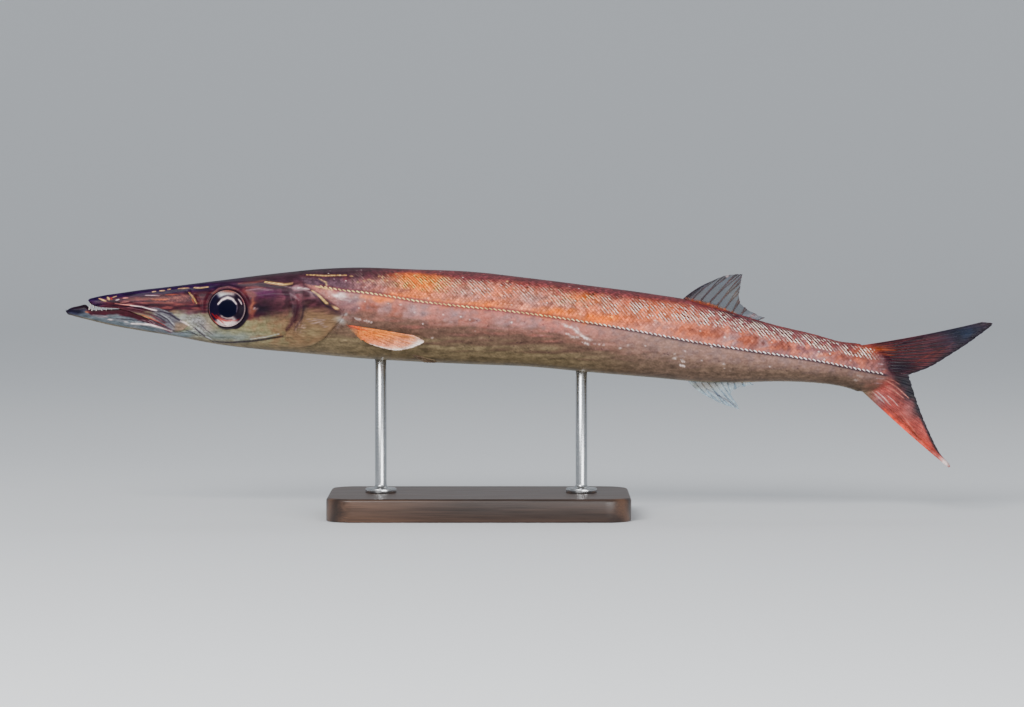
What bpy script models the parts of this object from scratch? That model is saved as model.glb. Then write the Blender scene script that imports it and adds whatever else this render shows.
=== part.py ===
"""A young European barracuda as a still display model, life size, held over a flat base by two rods.

The fish faces -X and its left side faces -Y. Along the body, a station is the distance behind the tip of
the lower jaw, and a height is measured from the level of that tip. Both are tabled in millimetres and turned
into metres by MM. The flesh is lofted between super-elliptic cross-sections, the fins are ray by ray sheets
with a ridge for each ray, and every piece keeps GAP to its neighbours.
"""

import math

import bmesh
import bpy
import numpy as np
from mathutils import Matrix, Vector

MM = 0.001
GAP = 0.3 * MM

TOTAL_LENGTH = 480 * MM
JAW_TIP_HEIGHT = 106 * MM

EYE_STATION = 84.2 * MM
EYE_HEIGHT = 1.9 * MM
EYE_RADIUS = 9.85 * MM
EYE_BULGE = 2.6 * MM
EYE_DEPTH = 5.6 * MM
EYE_SINK = 0.9 * MM
SOCKET_COLLAR = 6 * MM
TURN_STEPS = 20

NECK = 134 * MM
TRUNK_CUTS = (235 * MM, 305 * MM, 372 * MM)
STALK_END = 412.3 * MM

BASE_LENGTH = 156 * MM
BASE_WIDTH = 92 * MM
BASE_THICKNESS = 12 * MM
BASE_CORNER = 14 * MM
BASE_STATION = 214 * MM
ROD_RADIUS = 3 * MM
ROD_STATIONS = {"front": 163 * MM, "rear": 267 * MM}
ROD_SOCKET_DEPTH = 5 * MM
FOOT_RADIUS = 8 * MM
FOOT_HEIGHT = 2.5 * MM

# Fins, as half thicknesses: the thinnest membrane, a ray near its tip, and the membrane as a share of a ray.
FIN_EDGE_HALF = 0.26 * MM
RAY_TIP_HALF = 0.58 * MM
MEMBRANE_SHARE = 0.4
FIN_NOTCH = 0.6 * MM

LEFT, RIGHT = -1, 1
SIDES = {"left": LEFT, "right": RIGHT}


def mm(rows):
    """A table written in millimetres, as an array in metres."""
    return np.array(rows, float) * MM


# Outlines in side view: (station, height).
BACK = mm([
    (11.6, 6.0), (12.4, 6.6), (13.8, 7.0), (17.6, 7.9), (28.5, 9.6), (54.4, 12.6), (79.8, 16.0),
    (102, 18.9), (126, 21.4), (152, 22.6), (178, 21.7), (210, 20.4), (239, 17.2), (271, 13.2),
    (304, 8.8), (328, 4.6), (348, -1.6), (368, -7.4), (388, -12.2), (400, -15.6), (412.3, -17.4),
    (421.7, -19.5), (428, -25),
])
BELLY = mm([
    (0, -0.1), (0.9, -1.4), (2.6, -2.0), (7.3, -3.3), (13.8, -4.9), (22, -6.9), (38.3, -9.9),
    (54.4, -12.5), (79.8, -17.2), (102, -19.8), (126, -21.8), (152, -24.1), (178, -25.7),
    (210, -27.2), (239, -28.4), (271, -31.3), (304, -34.1), (328, -36.2), (348, -36.6), (368, -36.1),
    (388, -36.8), (398, -37.9), (405.6, -39.5), (412.3, -41.3), (421.7, -40.2), (428, -37),
])
# The line at which a section is widest, and its half width there.
WIDEST = mm([
    (11.6, 5.8), (14.9, 3.1), (19.4, 2.2), (27.8, 1.6), (38.3, -1.4), (46.6, -5.0), (55.2, -8.0),
    (67, -8.0), (84, -5.5), (102, -3.0), (126, -2.0), (152, -2.0), (178, -2.8), (210, -3.8),
    (239, -5.8), (271, -9.0), (304, -12.6), (328, -15.8), (348, -19.0), (368, -22.0), (388, -25.0),
    (412.3, -29.5), (428, -31.0),
])
HALF_WIDTH = mm([
    (11.6, 0.5), (12.4, 1.6), (13.8, 2.3), (17.6, 3.1), (22, 3.7), (27.8, 4.5), (38.3, 5.6),
    (54.4, 7.4), (67, 9.0), (84, 11.3), (102, 13.0), (120, 14.8), (138, 17.0), (160, 18.9),
    (195, 20.2), (225, 20.4), (256, 19.8), (288, 18.2), (318, 16.0), (348, 13.0), (368, 11.0),
    (388, 9.0), (400, 7.4), (412.3, 4.6), (421.7, 2.4), (428, 0.6),
])
# The head's underside: the palate, then the joint of the lower jaw down to the belly.
PALATE = mm([
    (11.6, 5.7), (12.7, 4.4), (14.9, 3.1), (17.0, 2.5), (19.4, 2.2), (27.8, 1.6), (38.3, -1.4),
    (46.6, -5.0), (55.2, -9.7), (64.2, -10.7), (71.5, -12.5), (76.1, -15.1), (78.0, -17.2),
])
JAW_TOP = mm([
    (0, 0.2), (1.9, 1.5), (6.9, 2.9), (10.1, 3.6), (11.4, 2.7), (12.7, 1.2), (15.4, 0.7), (19.4, 0.9),
    (27.8, 1.2), (38.3, -1.75), (46.6, -5.35), (55.2, -10.05), (64.2, -11.05), (71.5, -12.85),
    (76.1, -15.45), (77.0, -16.1),
])
JAW_HALF_WIDTH = mm([
    (0, 0.1), (0.9, 1.2), (2.6, 1.9), (7.3, 2.7), (11.6, 3.1), (19.4, 3.7), (27.8, 4.3), (38.3, 5.2),
    (46.6, 6.0), (55.2, 6.7), (64.2, 6.9), (71.5, 6.4), (76.1, 4.6), (77.0, 4.0),
])
JAW_LIP = mm([(0, 0.15), (1.9, 1.3), (6.9, 2.7), (10.1, 3.2), (12.7, 1.4), (15.4, 0.9), (77.0, 0.5)])

# The gill cover in side view, from its top to its bottom: its fore edge and its free hind edge.
GILL_FORE = mm([(121.0, 12.6), (122.0, 5.0), (121.4, -2.0), (119.4, -8.7), (114.0, -13.6), (105.0, -16.0)])
GILL_HIND = mm([
    (124.0, 13.0), (130.5, 10.8), (138.8, 4.6), (144.8, -0.6), (142.3, -4.5), (138.0, -9.2),
    (133.4, -14.0), (126.5, -17.2), (115.0, -17.8), (106.5, -17.1),
])
GILL_PROUD = 0.45 * MM
GILL_THICKNESS = 1.3 * MM

# Forms of the head in side view, with their height over the skin and their spread.
MAXILLA = mm([
    (16, 3.6), (33.2, 4.8), (47.1, 2.4), (55.4, -0.3), (59.6, -3.5), (64.2, -6.8), (61.0, -9.4),
    (55.4, -10.4), (46.6, -5.8), (38.3, -2.2), (27.8, 1.0), (19.4, 1.6),
])
BROW = mm([(28, 8.6), (49.2, 10.9), (74.6, 13.9), (90.1, 15.0), (103.6, 15.2), (118.1, 14.5)])
CHEEK_EDGE = mm([(119.7, 12.1), (120.2, 2.7), (118.1, -8.7), (112.0, -13.3), (101.5, -15.4), (90.1, -15.6)])
JAW_CANAL = mm([(34, -5.6), (45, -7.6), (52, -10.8)])
MAXILLA_RISE, BROW_RISE, ORBIT_RISE = 0.9 * MM, 0.7 * MM, 0.6 * MM
CHEEK_GROOVE, CANAL_RISE = -0.6 * MM, 0.5 * MM
LINE_SPREAD, ORBIT_SPREAD, PLATE_SPREAD = 1.2 * MM, 1.2 * MM, 0.9 * MM
NOSTRILS = mm([(64.6, 10.4), (67.4, 7.6)])
NOSTRIL_SIZES = ((0.7 * MM, 0.7 * MM), (0.6 * MM, 1.5 * MM))
NOSTRIL_DEPTH = 1.6 * MM

# Teeth: (station, length), and the share of the jaw's half width at which a row stands.
UPPER_TEETH = mm([(14.6, 1.2), (17.2, 1.0), (20.2, 0.9), (24.2, 0.6)])
LOWER_TEETH = mm([(13.0, 1.9), (18.6, 0.7), (22.2, 0.7)])
TOOTH_ROW = 0.72
TOOTH_RADIUS = 0.36 * MM
TOOTH_SINK = 0.8 * MM
TOOTH_SIDES = 6

# Each fin's roots and tips in side view, from its fore ray to its hind ray.
FIRST_DORSAL_FOLD = 0.9 * MM
FIRST_DORSAL_SPAN = (186 * MM, 230 * MM)
FIRST_DORSAL_ROOTS = mm([(191, 0.3), (211, 0.3)])
FIRST_DORSAL_TIPS = mm([(213, 1.5), (218, 1.45), (222, 1.3), (225, 1.1), (227, 0.8)])
SECOND_DORSAL_STATIONS = mm([318.8, 357.5])
SECOND_DORSAL_TIPS = mm([
    (331.9, 14.7), (342.1, 18.8), (350.4, 19.5), (349.7, 15.7), (349.1, 11.8), (348.6, 8.2),
    (349.1, 5.1), (351.7, 2.2), (355.9, -0.4), (362.1, -3.3),
])
ANAL_STATIONS = mm([321.5, 353.0])
ANAL_TIPS = mm([
    (330.0, -42.8), (339.8, -48.0), (349.0, -50.9), (347.6, -48.0), (345.5, -45.2), (344.5, -43.1),
    (345.5, -41.3), (348.1, -40.0), (351.7, -39.0), (356.4, -38.1),
])
UPPER_LOBE_ROOTS = mm([(412.6, -17.4), (412.6, -29.4)])
UPPER_LOBE_TIPS = mm([
    (474.5, -5.4), (480.0, -6.3), (471.9, -13.1), (457.2, -23.0), (447.3, -28.9), (436.4, -32.4),
])
LOWER_LOBE_ROOTS = mm([(412.6, -41.6), (412.6, -29.8)])
LOWER_LOBE_TIPS = mm([
    (457.6, -81.2), (458.4, -80.6), (453.2, -74.0), (447.3, -62.5), (441.3, -47.8), (436.8, -33.4),
])
PECTORAL_ROOTS = mm([(146.0, -6.2), (148.6, -9.0), (153.2, -13.6)])
PECTORAL_TIPS = mm([
    (181.0, -11.6), (186.0, -14.7), (182.3, -16.9), (177.0, -18.6), (172.0, -19.3), (166.0, -18.2),
    (158.5, -16.0),
])
PELVIC_ROOTS = mm([(175.5, -21.2), (179.5, -22.9)])
PELVIC_TIPS = mm([(191.5, -23.5), (192.5, -24.4), (189.5, -24.7), (186.0, -24.6)])


def curve(rows):
    """A smooth curve through a table's rows, as a function of its first column, with no overshoot."""
    x, y = rows[:, 0], rows[:, 1]
    step = np.diff(x)
    slope = np.diff(y) / step
    inner = (slope[1:] * step[:-1] + slope[:-1] * step[1:]) / (step[1:] + step[:-1])
    steepest = 3 * np.minimum(np.abs(slope[1:]), np.abs(slope[:-1])) * (slope[1:] * slope[:-1] > 0)
    tangent = np.concatenate([slope[:1], np.clip(inner, -steepest, steepest), slope[-1:]])

    def at(s):
        s = np.clip(s, x[0], x[-1])
        i = np.clip(np.searchsorted(x, s, side="right") - 1, 0, len(step) - 1)
        t = (s - x[i]) / step[i]
        rise = y[i] * (1 + 2 * t) * (1 - t) ** 2 + y[i + 1] * (3 - 2 * t) * t**2
        return rise + step[i] * (tangent[i] * t * (1 - t) ** 2 - tangent[i + 1] * (1 - t) * t**2)

    return at


def along(points, share):
    """Points of a smooth path through the given points, at shares of its length."""
    lengths = np.linalg.norm(np.diff(points, axis=0), axis=1)
    marks = np.concatenate([[0], np.cumsum(lengths)]) / lengths.sum()
    columns = [curve(np.column_stack([marks, points[:, c]]))(share) for c in range(points.shape[1])]
    return np.stack(columns, axis=-1)


back_line, belly_line = curve(BACK), curve(BELLY)
widest_line, half_width = curve(WIDEST), curve(HALF_WIDTH)
palate_line, jaw_line, jaw_half_width, jaw_lip = map(curve, (PALATE, JAW_TOP, JAW_HALF_WIDTH, JAW_LIP))
# How square a section is over and under its widest line: 2 is an ellipse.
square_over = curve(np.array([(0, 2.1), (0.03, 2.5), (0.09, 2.7), (0.15, 2.3), (0.25, 2.15), (0.43, 2.0)]))
square_under = curve(np.array([(0, 2.0), (0.08, 2.0), (0.15, 2.2), (0.25, 2.15), (0.43, 2.0)]))


def smooth_step(value):
    t = np.clip(value, 0, 1)
    return t * t * (3 - 2 * t)


def jaw_top(s):
    """The upper edge of the lower jaw, clear of the palate where the mouth is shut."""
    return np.minimum(jaw_line(s), palate_line(s) - GAP - 0.05 * MM)


def back_height(s):
    """The back, a little lower along the groove that takes the folded first dorsal fin."""
    low, high = FIRST_DORSAL_SPAN
    ramp = 6 * MM
    groove = smooth_step((s - low) / ramp) * smooth_step((high - s) / ramp)
    return back_line(s) - FIRST_DORSAL_FOLD * groove


def flank(s, h):
    """Half width of the whole body at a station and height, before any relief."""
    middle = widest_line(s)
    over = np.clip((h - middle) / (back_height(s) - middle), 0, 1)
    under = np.clip((middle - h) / (middle - belly_line(s)), 0, 1)
    upper = (1 - over ** square_over(s)) ** (1 / square_over(s))
    lower = (1 - under ** square_under(s)) ** (1 / square_under(s))
    return half_width(s) * np.where(h > middle, upper, lower)


def outward(s, h):
    """The flank's unit normal on the fish's right side, as (station, y, height)."""
    small = 0.5 * MM
    slope_s = (flank(s + small, h) - flank(s - small, h)) / (2 * small)
    slope_h = (flank(s, h + small) - flank(s, h - small)) / (2 * small)
    normal = np.stack([-slope_s, np.ones_like(slope_s), -slope_h], axis=-1)
    return normal / np.linalg.norm(normal, axis=-1, keepdims=True)


def path_distance(s, h, path):
    """Distance from each point to a path in side view."""
    nearest = np.full(np.shape(s), np.inf)
    for (s0, h0), (s1, h1) in zip(path[:-1], path[1:]):
        length2 = (s1 - s0) ** 2 + (h1 - h0) ** 2
        t = np.clip(((s - s0) * (s1 - s0) + (h - h0) * (h1 - h0)) / length2, 0, 1)
        nearest = np.minimum(nearest, np.hypot(s - s0 - t * (s1 - s0), h - h0 - t * (h1 - h0)))
    return nearest


def inside(s, h, outline):
    """Whether each point lies inside a closed outline in side view."""
    odd = np.zeros(np.shape(s), bool)
    for (s0, h0), (s1, h1) in zip(outline, np.roll(outline, -1, axis=0)):
        if h0 != h1:
            crosses = (h0 > h) != (h1 > h)
            odd ^= crosses & (s < s0 + (h - h0) * (s1 - s0) / (h1 - h0))
    return odd


def line_form(s, h, path, rise, spread):
    return rise * np.exp(-((path_distance(s, h, path) / spread) ** 2))


def head_relief(s, h):
    """Height of the head's own forms over the plain section."""
    closed = np.vstack([MAXILLA, MAXILLA[:1]])
    depth = np.where(inside(s, h, MAXILLA), 1, -1) * path_distance(s, h, closed)
    plate = MAXILLA_RISE * smooth_step(0.5 + depth / PLATE_SPREAD)
    ring = np.abs(np.hypot(s - EYE_STATION, h - EYE_HEIGHT) - EYE_RADIUS - ORBIT_SPREAD)
    orbit = ORBIT_RISE * np.exp(-((ring / ORBIT_SPREAD) ** 2))
    lines = line_form(s, h, BROW, BROW_RISE, LINE_SPREAD)
    lines += line_form(s, h, CHEEK_EDGE, CHEEK_GROOVE, LINE_SPREAD)
    return plate + orbit + lines


def jaw_relief(s, h):
    return line_form(s, h, JAW_CANAL, CANAL_RISE, LINE_SPREAD)


def new_object(name, data, collection, colour, roughness, metallic=0.0):
    """Links a new object to a collection, with a material of its own."""
    obj = bpy.data.objects.new(name, data)
    collection.objects.link(obj)
    material = bpy.data.materials.new(name)
    material.use_nodes = True
    shader = material.node_tree.nodes["Principled BSDF"]
    shader.inputs["Base Color"].default_value = (*colour, 1)
    shader.inputs["Roughness"].default_value = roughness
    shader.inputs["Metallic"].default_value = metallic
    data.materials.append(material)
    return obj


def mesh_from(name, points, faces):
    """A closed mesh in the part's frame, from points given as (station, y, height)."""
    mesh = bpy.data.meshes.new(name)
    shift = Vector((-TOTAL_LENGTH / 2, 0, JAW_TIP_HEIGHT))
    mesh.from_pydata([Vector(p) + shift for p in points], [], faces)
    work = bmesh.new()
    work.from_mesh(mesh)
    bmesh.ops.remove_doubles(work, verts=work.verts, dist=0.002 * MM)
    bmesh.ops.recalc_face_normals(work, faces=work.faces)
    work.to_mesh(mesh)
    work.free()
    mesh.shade_smooth()
    return mesh


def ring_points(s, section, first_angle, last_angle, relief, count):
    """One cross-section from its top, down the right side to its bottom, and up the left side."""
    middle, top, bottom, width, over, under = section
    angle = np.linspace(first_angle, last_angle, count)
    cosine, sine = np.cos(angle), np.sin(angle)
    power = np.where(cosine >= 0, over, under)
    reach = np.where(cosine >= 0, top - middle, middle - bottom)
    h = middle + reach * np.sign(cosine) * np.abs(cosine) ** (2 / power)
    y = width * np.abs(sine) ** (2 / power)
    normal_y, normal_h = y / width**2, (h - middle) / np.maximum(reach, MM) ** 2
    size = np.maximum(np.hypot(normal_y, normal_h), 1e-9)
    if relief is not None:
        rise = relief(np.full(count, s), h)
        settle = np.clip((last_angle - angle) / (0.25 * last_angle), 0, 1)
        y, h = y + rise * normal_y / size * (y > 1e-6), h + settle * rise * normal_h / size
    right = np.column_stack([np.full(count, s), y, h])
    return np.vstack([right, (right * (1, -1, 1))[::-1]])


def loft(name, rings):
    """A closed mesh through rings of equal count, capped at both ends."""
    count = len(rings[0])
    faces = [tuple(range(count)), tuple((len(rings) - 1) * count + i for i in reversed(range(count)))]
    for r in range(len(rings) - 1):
        for i in range(count):
            j = (i + 1) % count
            faces.append((r * count + i, (r + 1) * count + i, (r + 1) * count + j, r * count + j))
    return mesh_from(name, np.vstack(rings), faces)


def body_section(s):
    return (widest_line(s), back_height(s), belly_line(s), half_width(s), square_over(s), square_under(s))


def palate_section(s):
    """A section of the head over the mouth, and the angle at which it reaches the palate."""
    middle, *rest = body_section(s)
    floor = palate_line(s)
    middle = max(middle, floor)
    bottom, under = rest[1], rest[4]
    return (middle, *rest), math.acos(-(((middle - floor) / (middle - bottom)) ** (under / 2)))


def head_mesh():
    stations = np.concatenate([
        mm([11.6, 12.0, 12.7, 13.8, 15.4, 17.4, 19.4, 22.0, 25.0, 28.5, 32.0, 35.5]),
        np.linspace(38.3 * MM, 76.1 * MM, 15),
        mm([78.0]),
        np.linspace(80.5 * MM, NECK, 20),
    ])
    jaw_joint_end = PALATE[-1, 0]
    rings = []
    for s in stations:
        section, last = body_section(s), math.pi
        if s < jaw_joint_end - GAP:
            section, last = palate_section(s)
        rings.append(ring_points(s, section, 0, last, head_relief, 16))
    return loft("head", rings)


def jaw_mesh():
    stations = np.concatenate([
        mm([0, 0.4, 1.2, 2.6, 4.6, 7.3, 9.2, 10.4, 11.4, 12.1, 12.7, 13.8, 15.4, 17.4, 19.4, 22.0, 25.0]),
        mm([28.5, 32.0, 35.5]),
        np.linspace(38.3 * MM, 76.1 * MM, 15),
        mm([77.0]),
    ])
    rings = []
    for s in stations:
        top, bottom = jaw_top(s), belly_line(s)
        middle = max(top - jaw_lip(s), bottom + 0.1 * (top - bottom))
        section = (middle, top, bottom, jaw_half_width(s), 2.4, 2.0)
        rings.append(ring_points(s, section, 0, math.pi, jaw_relief, 11))
    return loft("lower_jaw", rings)


def trunk_mesh(name, start, end, steps, count):
    stations = np.linspace(start, end, steps)
    return loft(name, [ring_points(s, body_section(s), 0, math.pi, None, count) for s in stations])


def sheet(name, near, far):
    """A closed sheet between two grids of points, split into triangles alike on both faces."""
    rows, columns = near.shape[:2]
    far_start = rows * columns
    faces = []
    for r in range(rows - 1):
        for c in range(columns - 1):
            a, b = r * columns + c, r * columns + c + 1
            d, e = a + columns, b + columns
            for tri in ((a, b, e), (a, e, d)):
                faces.append(tri)
                faces.append(tuple(i + far_start for i in reversed(tri)))
    rim = list(range(columns))
    rim += [r * columns + columns - 1 for r in range(1, rows)]
    rim += [(rows - 1) * columns + c for c in reversed(range(columns - 1))]
    rim += [r * columns for r in reversed(range(1, rows - 1))]
    for a, b in zip(rim, rim[1:] + rim[:1]):
        faces.append((b, a, a + far_start, b + far_start))
    points = np.vstack([near.reshape(-1, 3), far.reshape(-1, 3)])
    return mesh_from(name, points, faces)


def on_flank(s, h, lift):
    """Points at a lift over the right flank, as (station, y, height)."""
    return np.stack([s, flank(s, h), h], axis=-1) + outward(s, h) * np.asarray(lift)[..., None]


def to_side(points, side):
    return points * (1, side, 1)


def gill_grid(grow):
    """Side-view grid over the gill cover, its edges moved out by grow."""
    share = np.linspace(0, 1, 15)
    edges = []
    for path, way in ((GILL_FORE, 1), (GILL_HIND, -1)):
        line = along(path, share)
        tangent = np.gradient(line, axis=0)
        tangent /= np.linalg.norm(tangent, axis=1, keepdims=True)
        line = line + way * grow * np.column_stack([tangent[:, 1], -tangent[:, 0]])
        line[0] -= grow * tangent[0]
        line[-1] += grow * tangent[-1]
        edges.append(line)
    across = np.linspace(0, 1, 6)[None, :, None]
    return edges[0][:, None] * (1 - across) + edges[1][:, None] * across


def gill_cover_mesh(name, side):
    grid = gill_grid(0)
    proud = np.full(grid.shape[:2], GILL_PROUD)
    outer = on_flank(grid[..., 0], grid[..., 1], proud)
    inner = on_flank(grid[..., 0], grid[..., 1], proud - GILL_THICKNESS)
    return sheet(name, to_side(outer, side), to_side(inner, side))


def gill_recess_mesh(name, side):
    grid = gill_grid(GAP)
    lift = np.full(grid.shape[:2], 3 * MM)
    outer = on_flank(grid[..., 0], grid[..., 1], lift)
    floor = on_flank(grid[..., 0], grid[..., 1], lift * 0 + GILL_PROUD - GILL_THICKNESS - GAP)
    return sheet(name, to_side(outer, side), to_side(floor, side))


def turned(name, profile, collection, colour, roughness, metallic=0.0):
    """A solid turned about its own Z axis from a profile of (radius, height) that runs top to bottom."""
    mesh = bpy.data.meshes.new(name)
    mesh.from_pydata([(r, 0, z) for r, z in profile], [(i, i + 1) for i in range(len(profile) - 1)], [])
    obj = new_object(name, mesh, collection, colour, roughness, metallic)
    screw = obj.modifiers.new("turn", "SCREW")
    screw.steps = screw.render_steps = TURN_STEPS
    screw.use_merge_vertices = True
    screw.merge_threshold = 0.01 * MM
    screw.use_smooth_shade = True
    return obj


def aim_from_head(obj, s, h, side, sink=0.0):
    """Sets an object on the flank, its Z axis along the skin's outward normal."""
    normal = outward(np.array(s), np.array(h)) * (1, side, 1)
    point = np.array([s, side * flank(np.array(s), np.array(h)), h]) - sink * normal
    obj.location = Vector(point) + Vector((-TOTAL_LENGTH / 2, 0, JAW_TIP_HEIGHT))
    obj.rotation_mode = "QUATERNION"
    obj.rotation_quaternion = Vector(normal).to_track_quat("Z", "Y")


def eye_profile(grow, collar):
    """Half an eyeball: a flat cornea in front and a deeper back. A socket also gets a collar in front."""
    radius, front, depth = EYE_RADIUS + grow, EYE_BULGE + grow, EYE_DEPTH + grow
    angles = np.linspace(0, math.pi, 15)
    rows = [(radius * math.sin(a), (front if a < math.pi / 2 else depth) * math.cos(a)) for a in angles]
    if collar:
        rows = [(0, collar), (radius, collar)] + [row for row in rows if row[1] < 0.1 * MM]
    return rows


def make_eyes(collection, cutters):
    sockets = {}
    for word, side in SIDES.items():
        eye = turned(f"eye_{word}", eye_profile(0, 0), collection, (0.75, 0.72, 0.66), 0.12)
        aim_from_head(eye, EYE_STATION, EYE_HEIGHT, side, EYE_SINK)
        profile = eye_profile(GAP, SOCKET_COLLAR)
        socket = turned(f"cut_socket_{word}", profile, cutters, (0.2, 0.2, 0.2), 0.5)
        aim_from_head(socket, EYE_STATION, EYE_HEIGHT, side, EYE_SINK)
        sockets[word] = socket
    return sockets


def make_nostrils(cutters):
    made = []
    for word, side in SIDES.items():
        for number, ((s, h), (across, length)) in enumerate(zip(NOSTRILS, NOSTRIL_SIZES)):
            bpy.ops.mesh.primitive_uv_sphere_add(segments=10, ring_count=6, radius=1)
            pit = bpy.context.active_object
            pit.name = f"cut_nostril_{word}_{number}"
            pit.data.transform(Matrix.Diagonal((across, length, NOSTRIL_DEPTH, 1)))
            for owner in list(pit.users_collection):
                owner.objects.unlink(pit)
            cutters.objects.link(pit)
            aim_from_head(pit, s, h, side)
            made.append(pit)
    return made


def tooth_pieces(rows, root_line, width, up, sink_line):
    """Cones along both sides of a jaw, their roots sunk in it."""
    pieces = []
    for s, length in rows:
        for side in SIDES.values():
            height = length + TOOTH_SINK
            cone = bmesh.new()
            bmesh.ops.create_cone(
                cone, cap_ends=True, segments=TOOTH_SIDES, radius1=TOOTH_RADIUS,
                radius2=0.06 * MM, depth=height,
            )
            centre = root_line(s) + up * (height / 2 - TOOTH_SINK) + sink_line
            flip = Matrix.Identity(4) if up > 0 else Matrix.Rotation(math.pi, 4, "X")
            place = Matrix.Translation(
                (s - TOTAL_LENGTH / 2, side * TOOTH_ROW * width(s), JAW_TIP_HEIGHT + centre)
            )
            cone.transform(place @ flip)
            mesh = bpy.data.meshes.new("tooth")
            cone.to_mesh(mesh)
            cone.free()
            pieces.append(bpy.data.objects.new("tooth", mesh))
    return pieces


def bake_modifiers(obj):
    """Replaces an object's mesh with what its modifiers make of it, less any loose scrap."""
    graph = bpy.context.evaluated_depsgraph_get()
    mesh = bpy.data.meshes.new_from_object(obj.evaluated_get(graph))
    obj.modifiers.clear()
    obj.data = mesh
    work = bmesh.new()
    work.from_mesh(mesh)
    bmesh.ops.remove_doubles(work, verts=work.verts, dist=0.003 * MM)
    bmesh.ops.dissolve_degenerate(work, dist=0.003 * MM, edges=work.edges)
    left, bodies = set(work.verts), []
    while left:
        body, front = set(), [left.pop()]
        while front:
            vert = front.pop()
            body.add(vert)
            near = [edge.other_vert(vert) for edge in vert.link_edges]
            front += [v for v in near if v in left]
            left.difference_update(near)
        bodies.append(body)
    largest = max(bodies, key=len)
    bmesh.ops.delete(work, geom=[v for v in work.verts if v not in largest], context="VERTS")
    work.to_mesh(mesh)
    work.free()


def fuse(obj, pieces):
    """Joins closed pieces to an object by one Boolean union."""
    group = bpy.data.collections.new(obj.name + "_pieces")
    bpy.context.scene.collection.children.link(group)
    for piece in pieces:
        group.objects.link(piece)
    union = obj.modifiers.new("join", "BOOLEAN")
    union.operation, union.operand_type, union.collection = "UNION", "COLLECTION", group
    bake_modifiers(obj)
    for piece in pieces:
        bpy.data.objects.remove(piece)
    bpy.data.collections.remove(group)


def cut(obj, cutter_objects):
    """Takes each cutter's shape out of an object."""
    for cutter in cutter_objects:
        cutter.hide_render = True
        cutter.display_type = "WIRE"
        difference = obj.modifiers.new(cutter.name, "BOOLEAN")
        difference.operation, difference.object = "DIFFERENCE", cutter
    bake_modifiers(obj)


def ray_sheet(name, roots, tips, rays, rows, lift, root_half, bow=0.0, notch=FIN_NOTCH, body_core=False):
    """A fin: each ray a ridge from its root to its tip, and thinner membrane between the rays.

    roots and tips are paths in side view, or arrays with one point for each ray. lift turns grids of
    stations, heights and shares of length into points at the middle of the sheet. bow curves the rays
    sideways, the fore ray most and the hind ray not at all.
    """
    columns = 2 * rays - 1
    share = np.linspace(0, 1, columns)
    root, tip = along(roots, share), along(tips, share)
    span = tip - root
    reach = 1 - notch * (np.arange(columns) % 2) / np.linalg.norm(span, axis=1)
    t = np.linspace(0, 1, rows)[:, None] * reach
    across = np.column_stack([-span[:, 1], span[:, 0]])
    bulge = bow * (1 - share) * 4 * t * (1 - t)
    grid = root + span * t[..., None] + across * bulge[..., None]
    points, normal = lift(grid[..., 0], grid[..., 1], t)
    ridge = np.where(np.arange(columns) % 2 == 0, 1, MEMBRANE_SHARE)
    half = np.maximum((root_half + (RAY_TIP_HALF - root_half) * t**0.7) * ridge, FIN_EDGE_HALF)
    half[0] = root_half
    half[-1] = FIN_EDGE_HALF
    if body_core:
        half = np.maximum(half, flank(grid[..., 0], grid[..., 1]))
    shift = normal * half[..., None]
    return sheet(name, points + shift, points - shift)


def on_midline(s, h, t):
    """A sheet that stands in the fish's middle plane."""
    points = np.stack([s, 0 * s, h], axis=-1)
    return points, np.broadcast_to(np.array([0.0, 1.0, 0.0]), points.shape)


def over_back(s, lift, t):
    """A sheet in the middle plane whose heights are measured from the back."""
    return on_midline(s, back_height(s) + lift, t)


def beside_flank(side, root_lift, tip_lift, drop):
    """A sheet along the flank that stands off it towards its tip, straight sideways where drop is 0."""

    def place(s, h, t):
        way = outward(s, h) * (drop, 1, drop)
        way /= np.linalg.norm(way, axis=-1, keepdims=True)
        lift = root_lift + (tip_lift - root_lift) * t**1.3
        points = np.stack([s, flank(s, h), h], axis=-1) + way * lift[..., None]
        down = np.gradient(points, axis=0)
        over = np.gradient(points, axis=1)
        normal = np.cross(down, over)
        normal /= np.linalg.norm(normal, axis=-1, keepdims=True)
        return to_side(points, side), to_side(normal, side)

    return place


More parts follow.
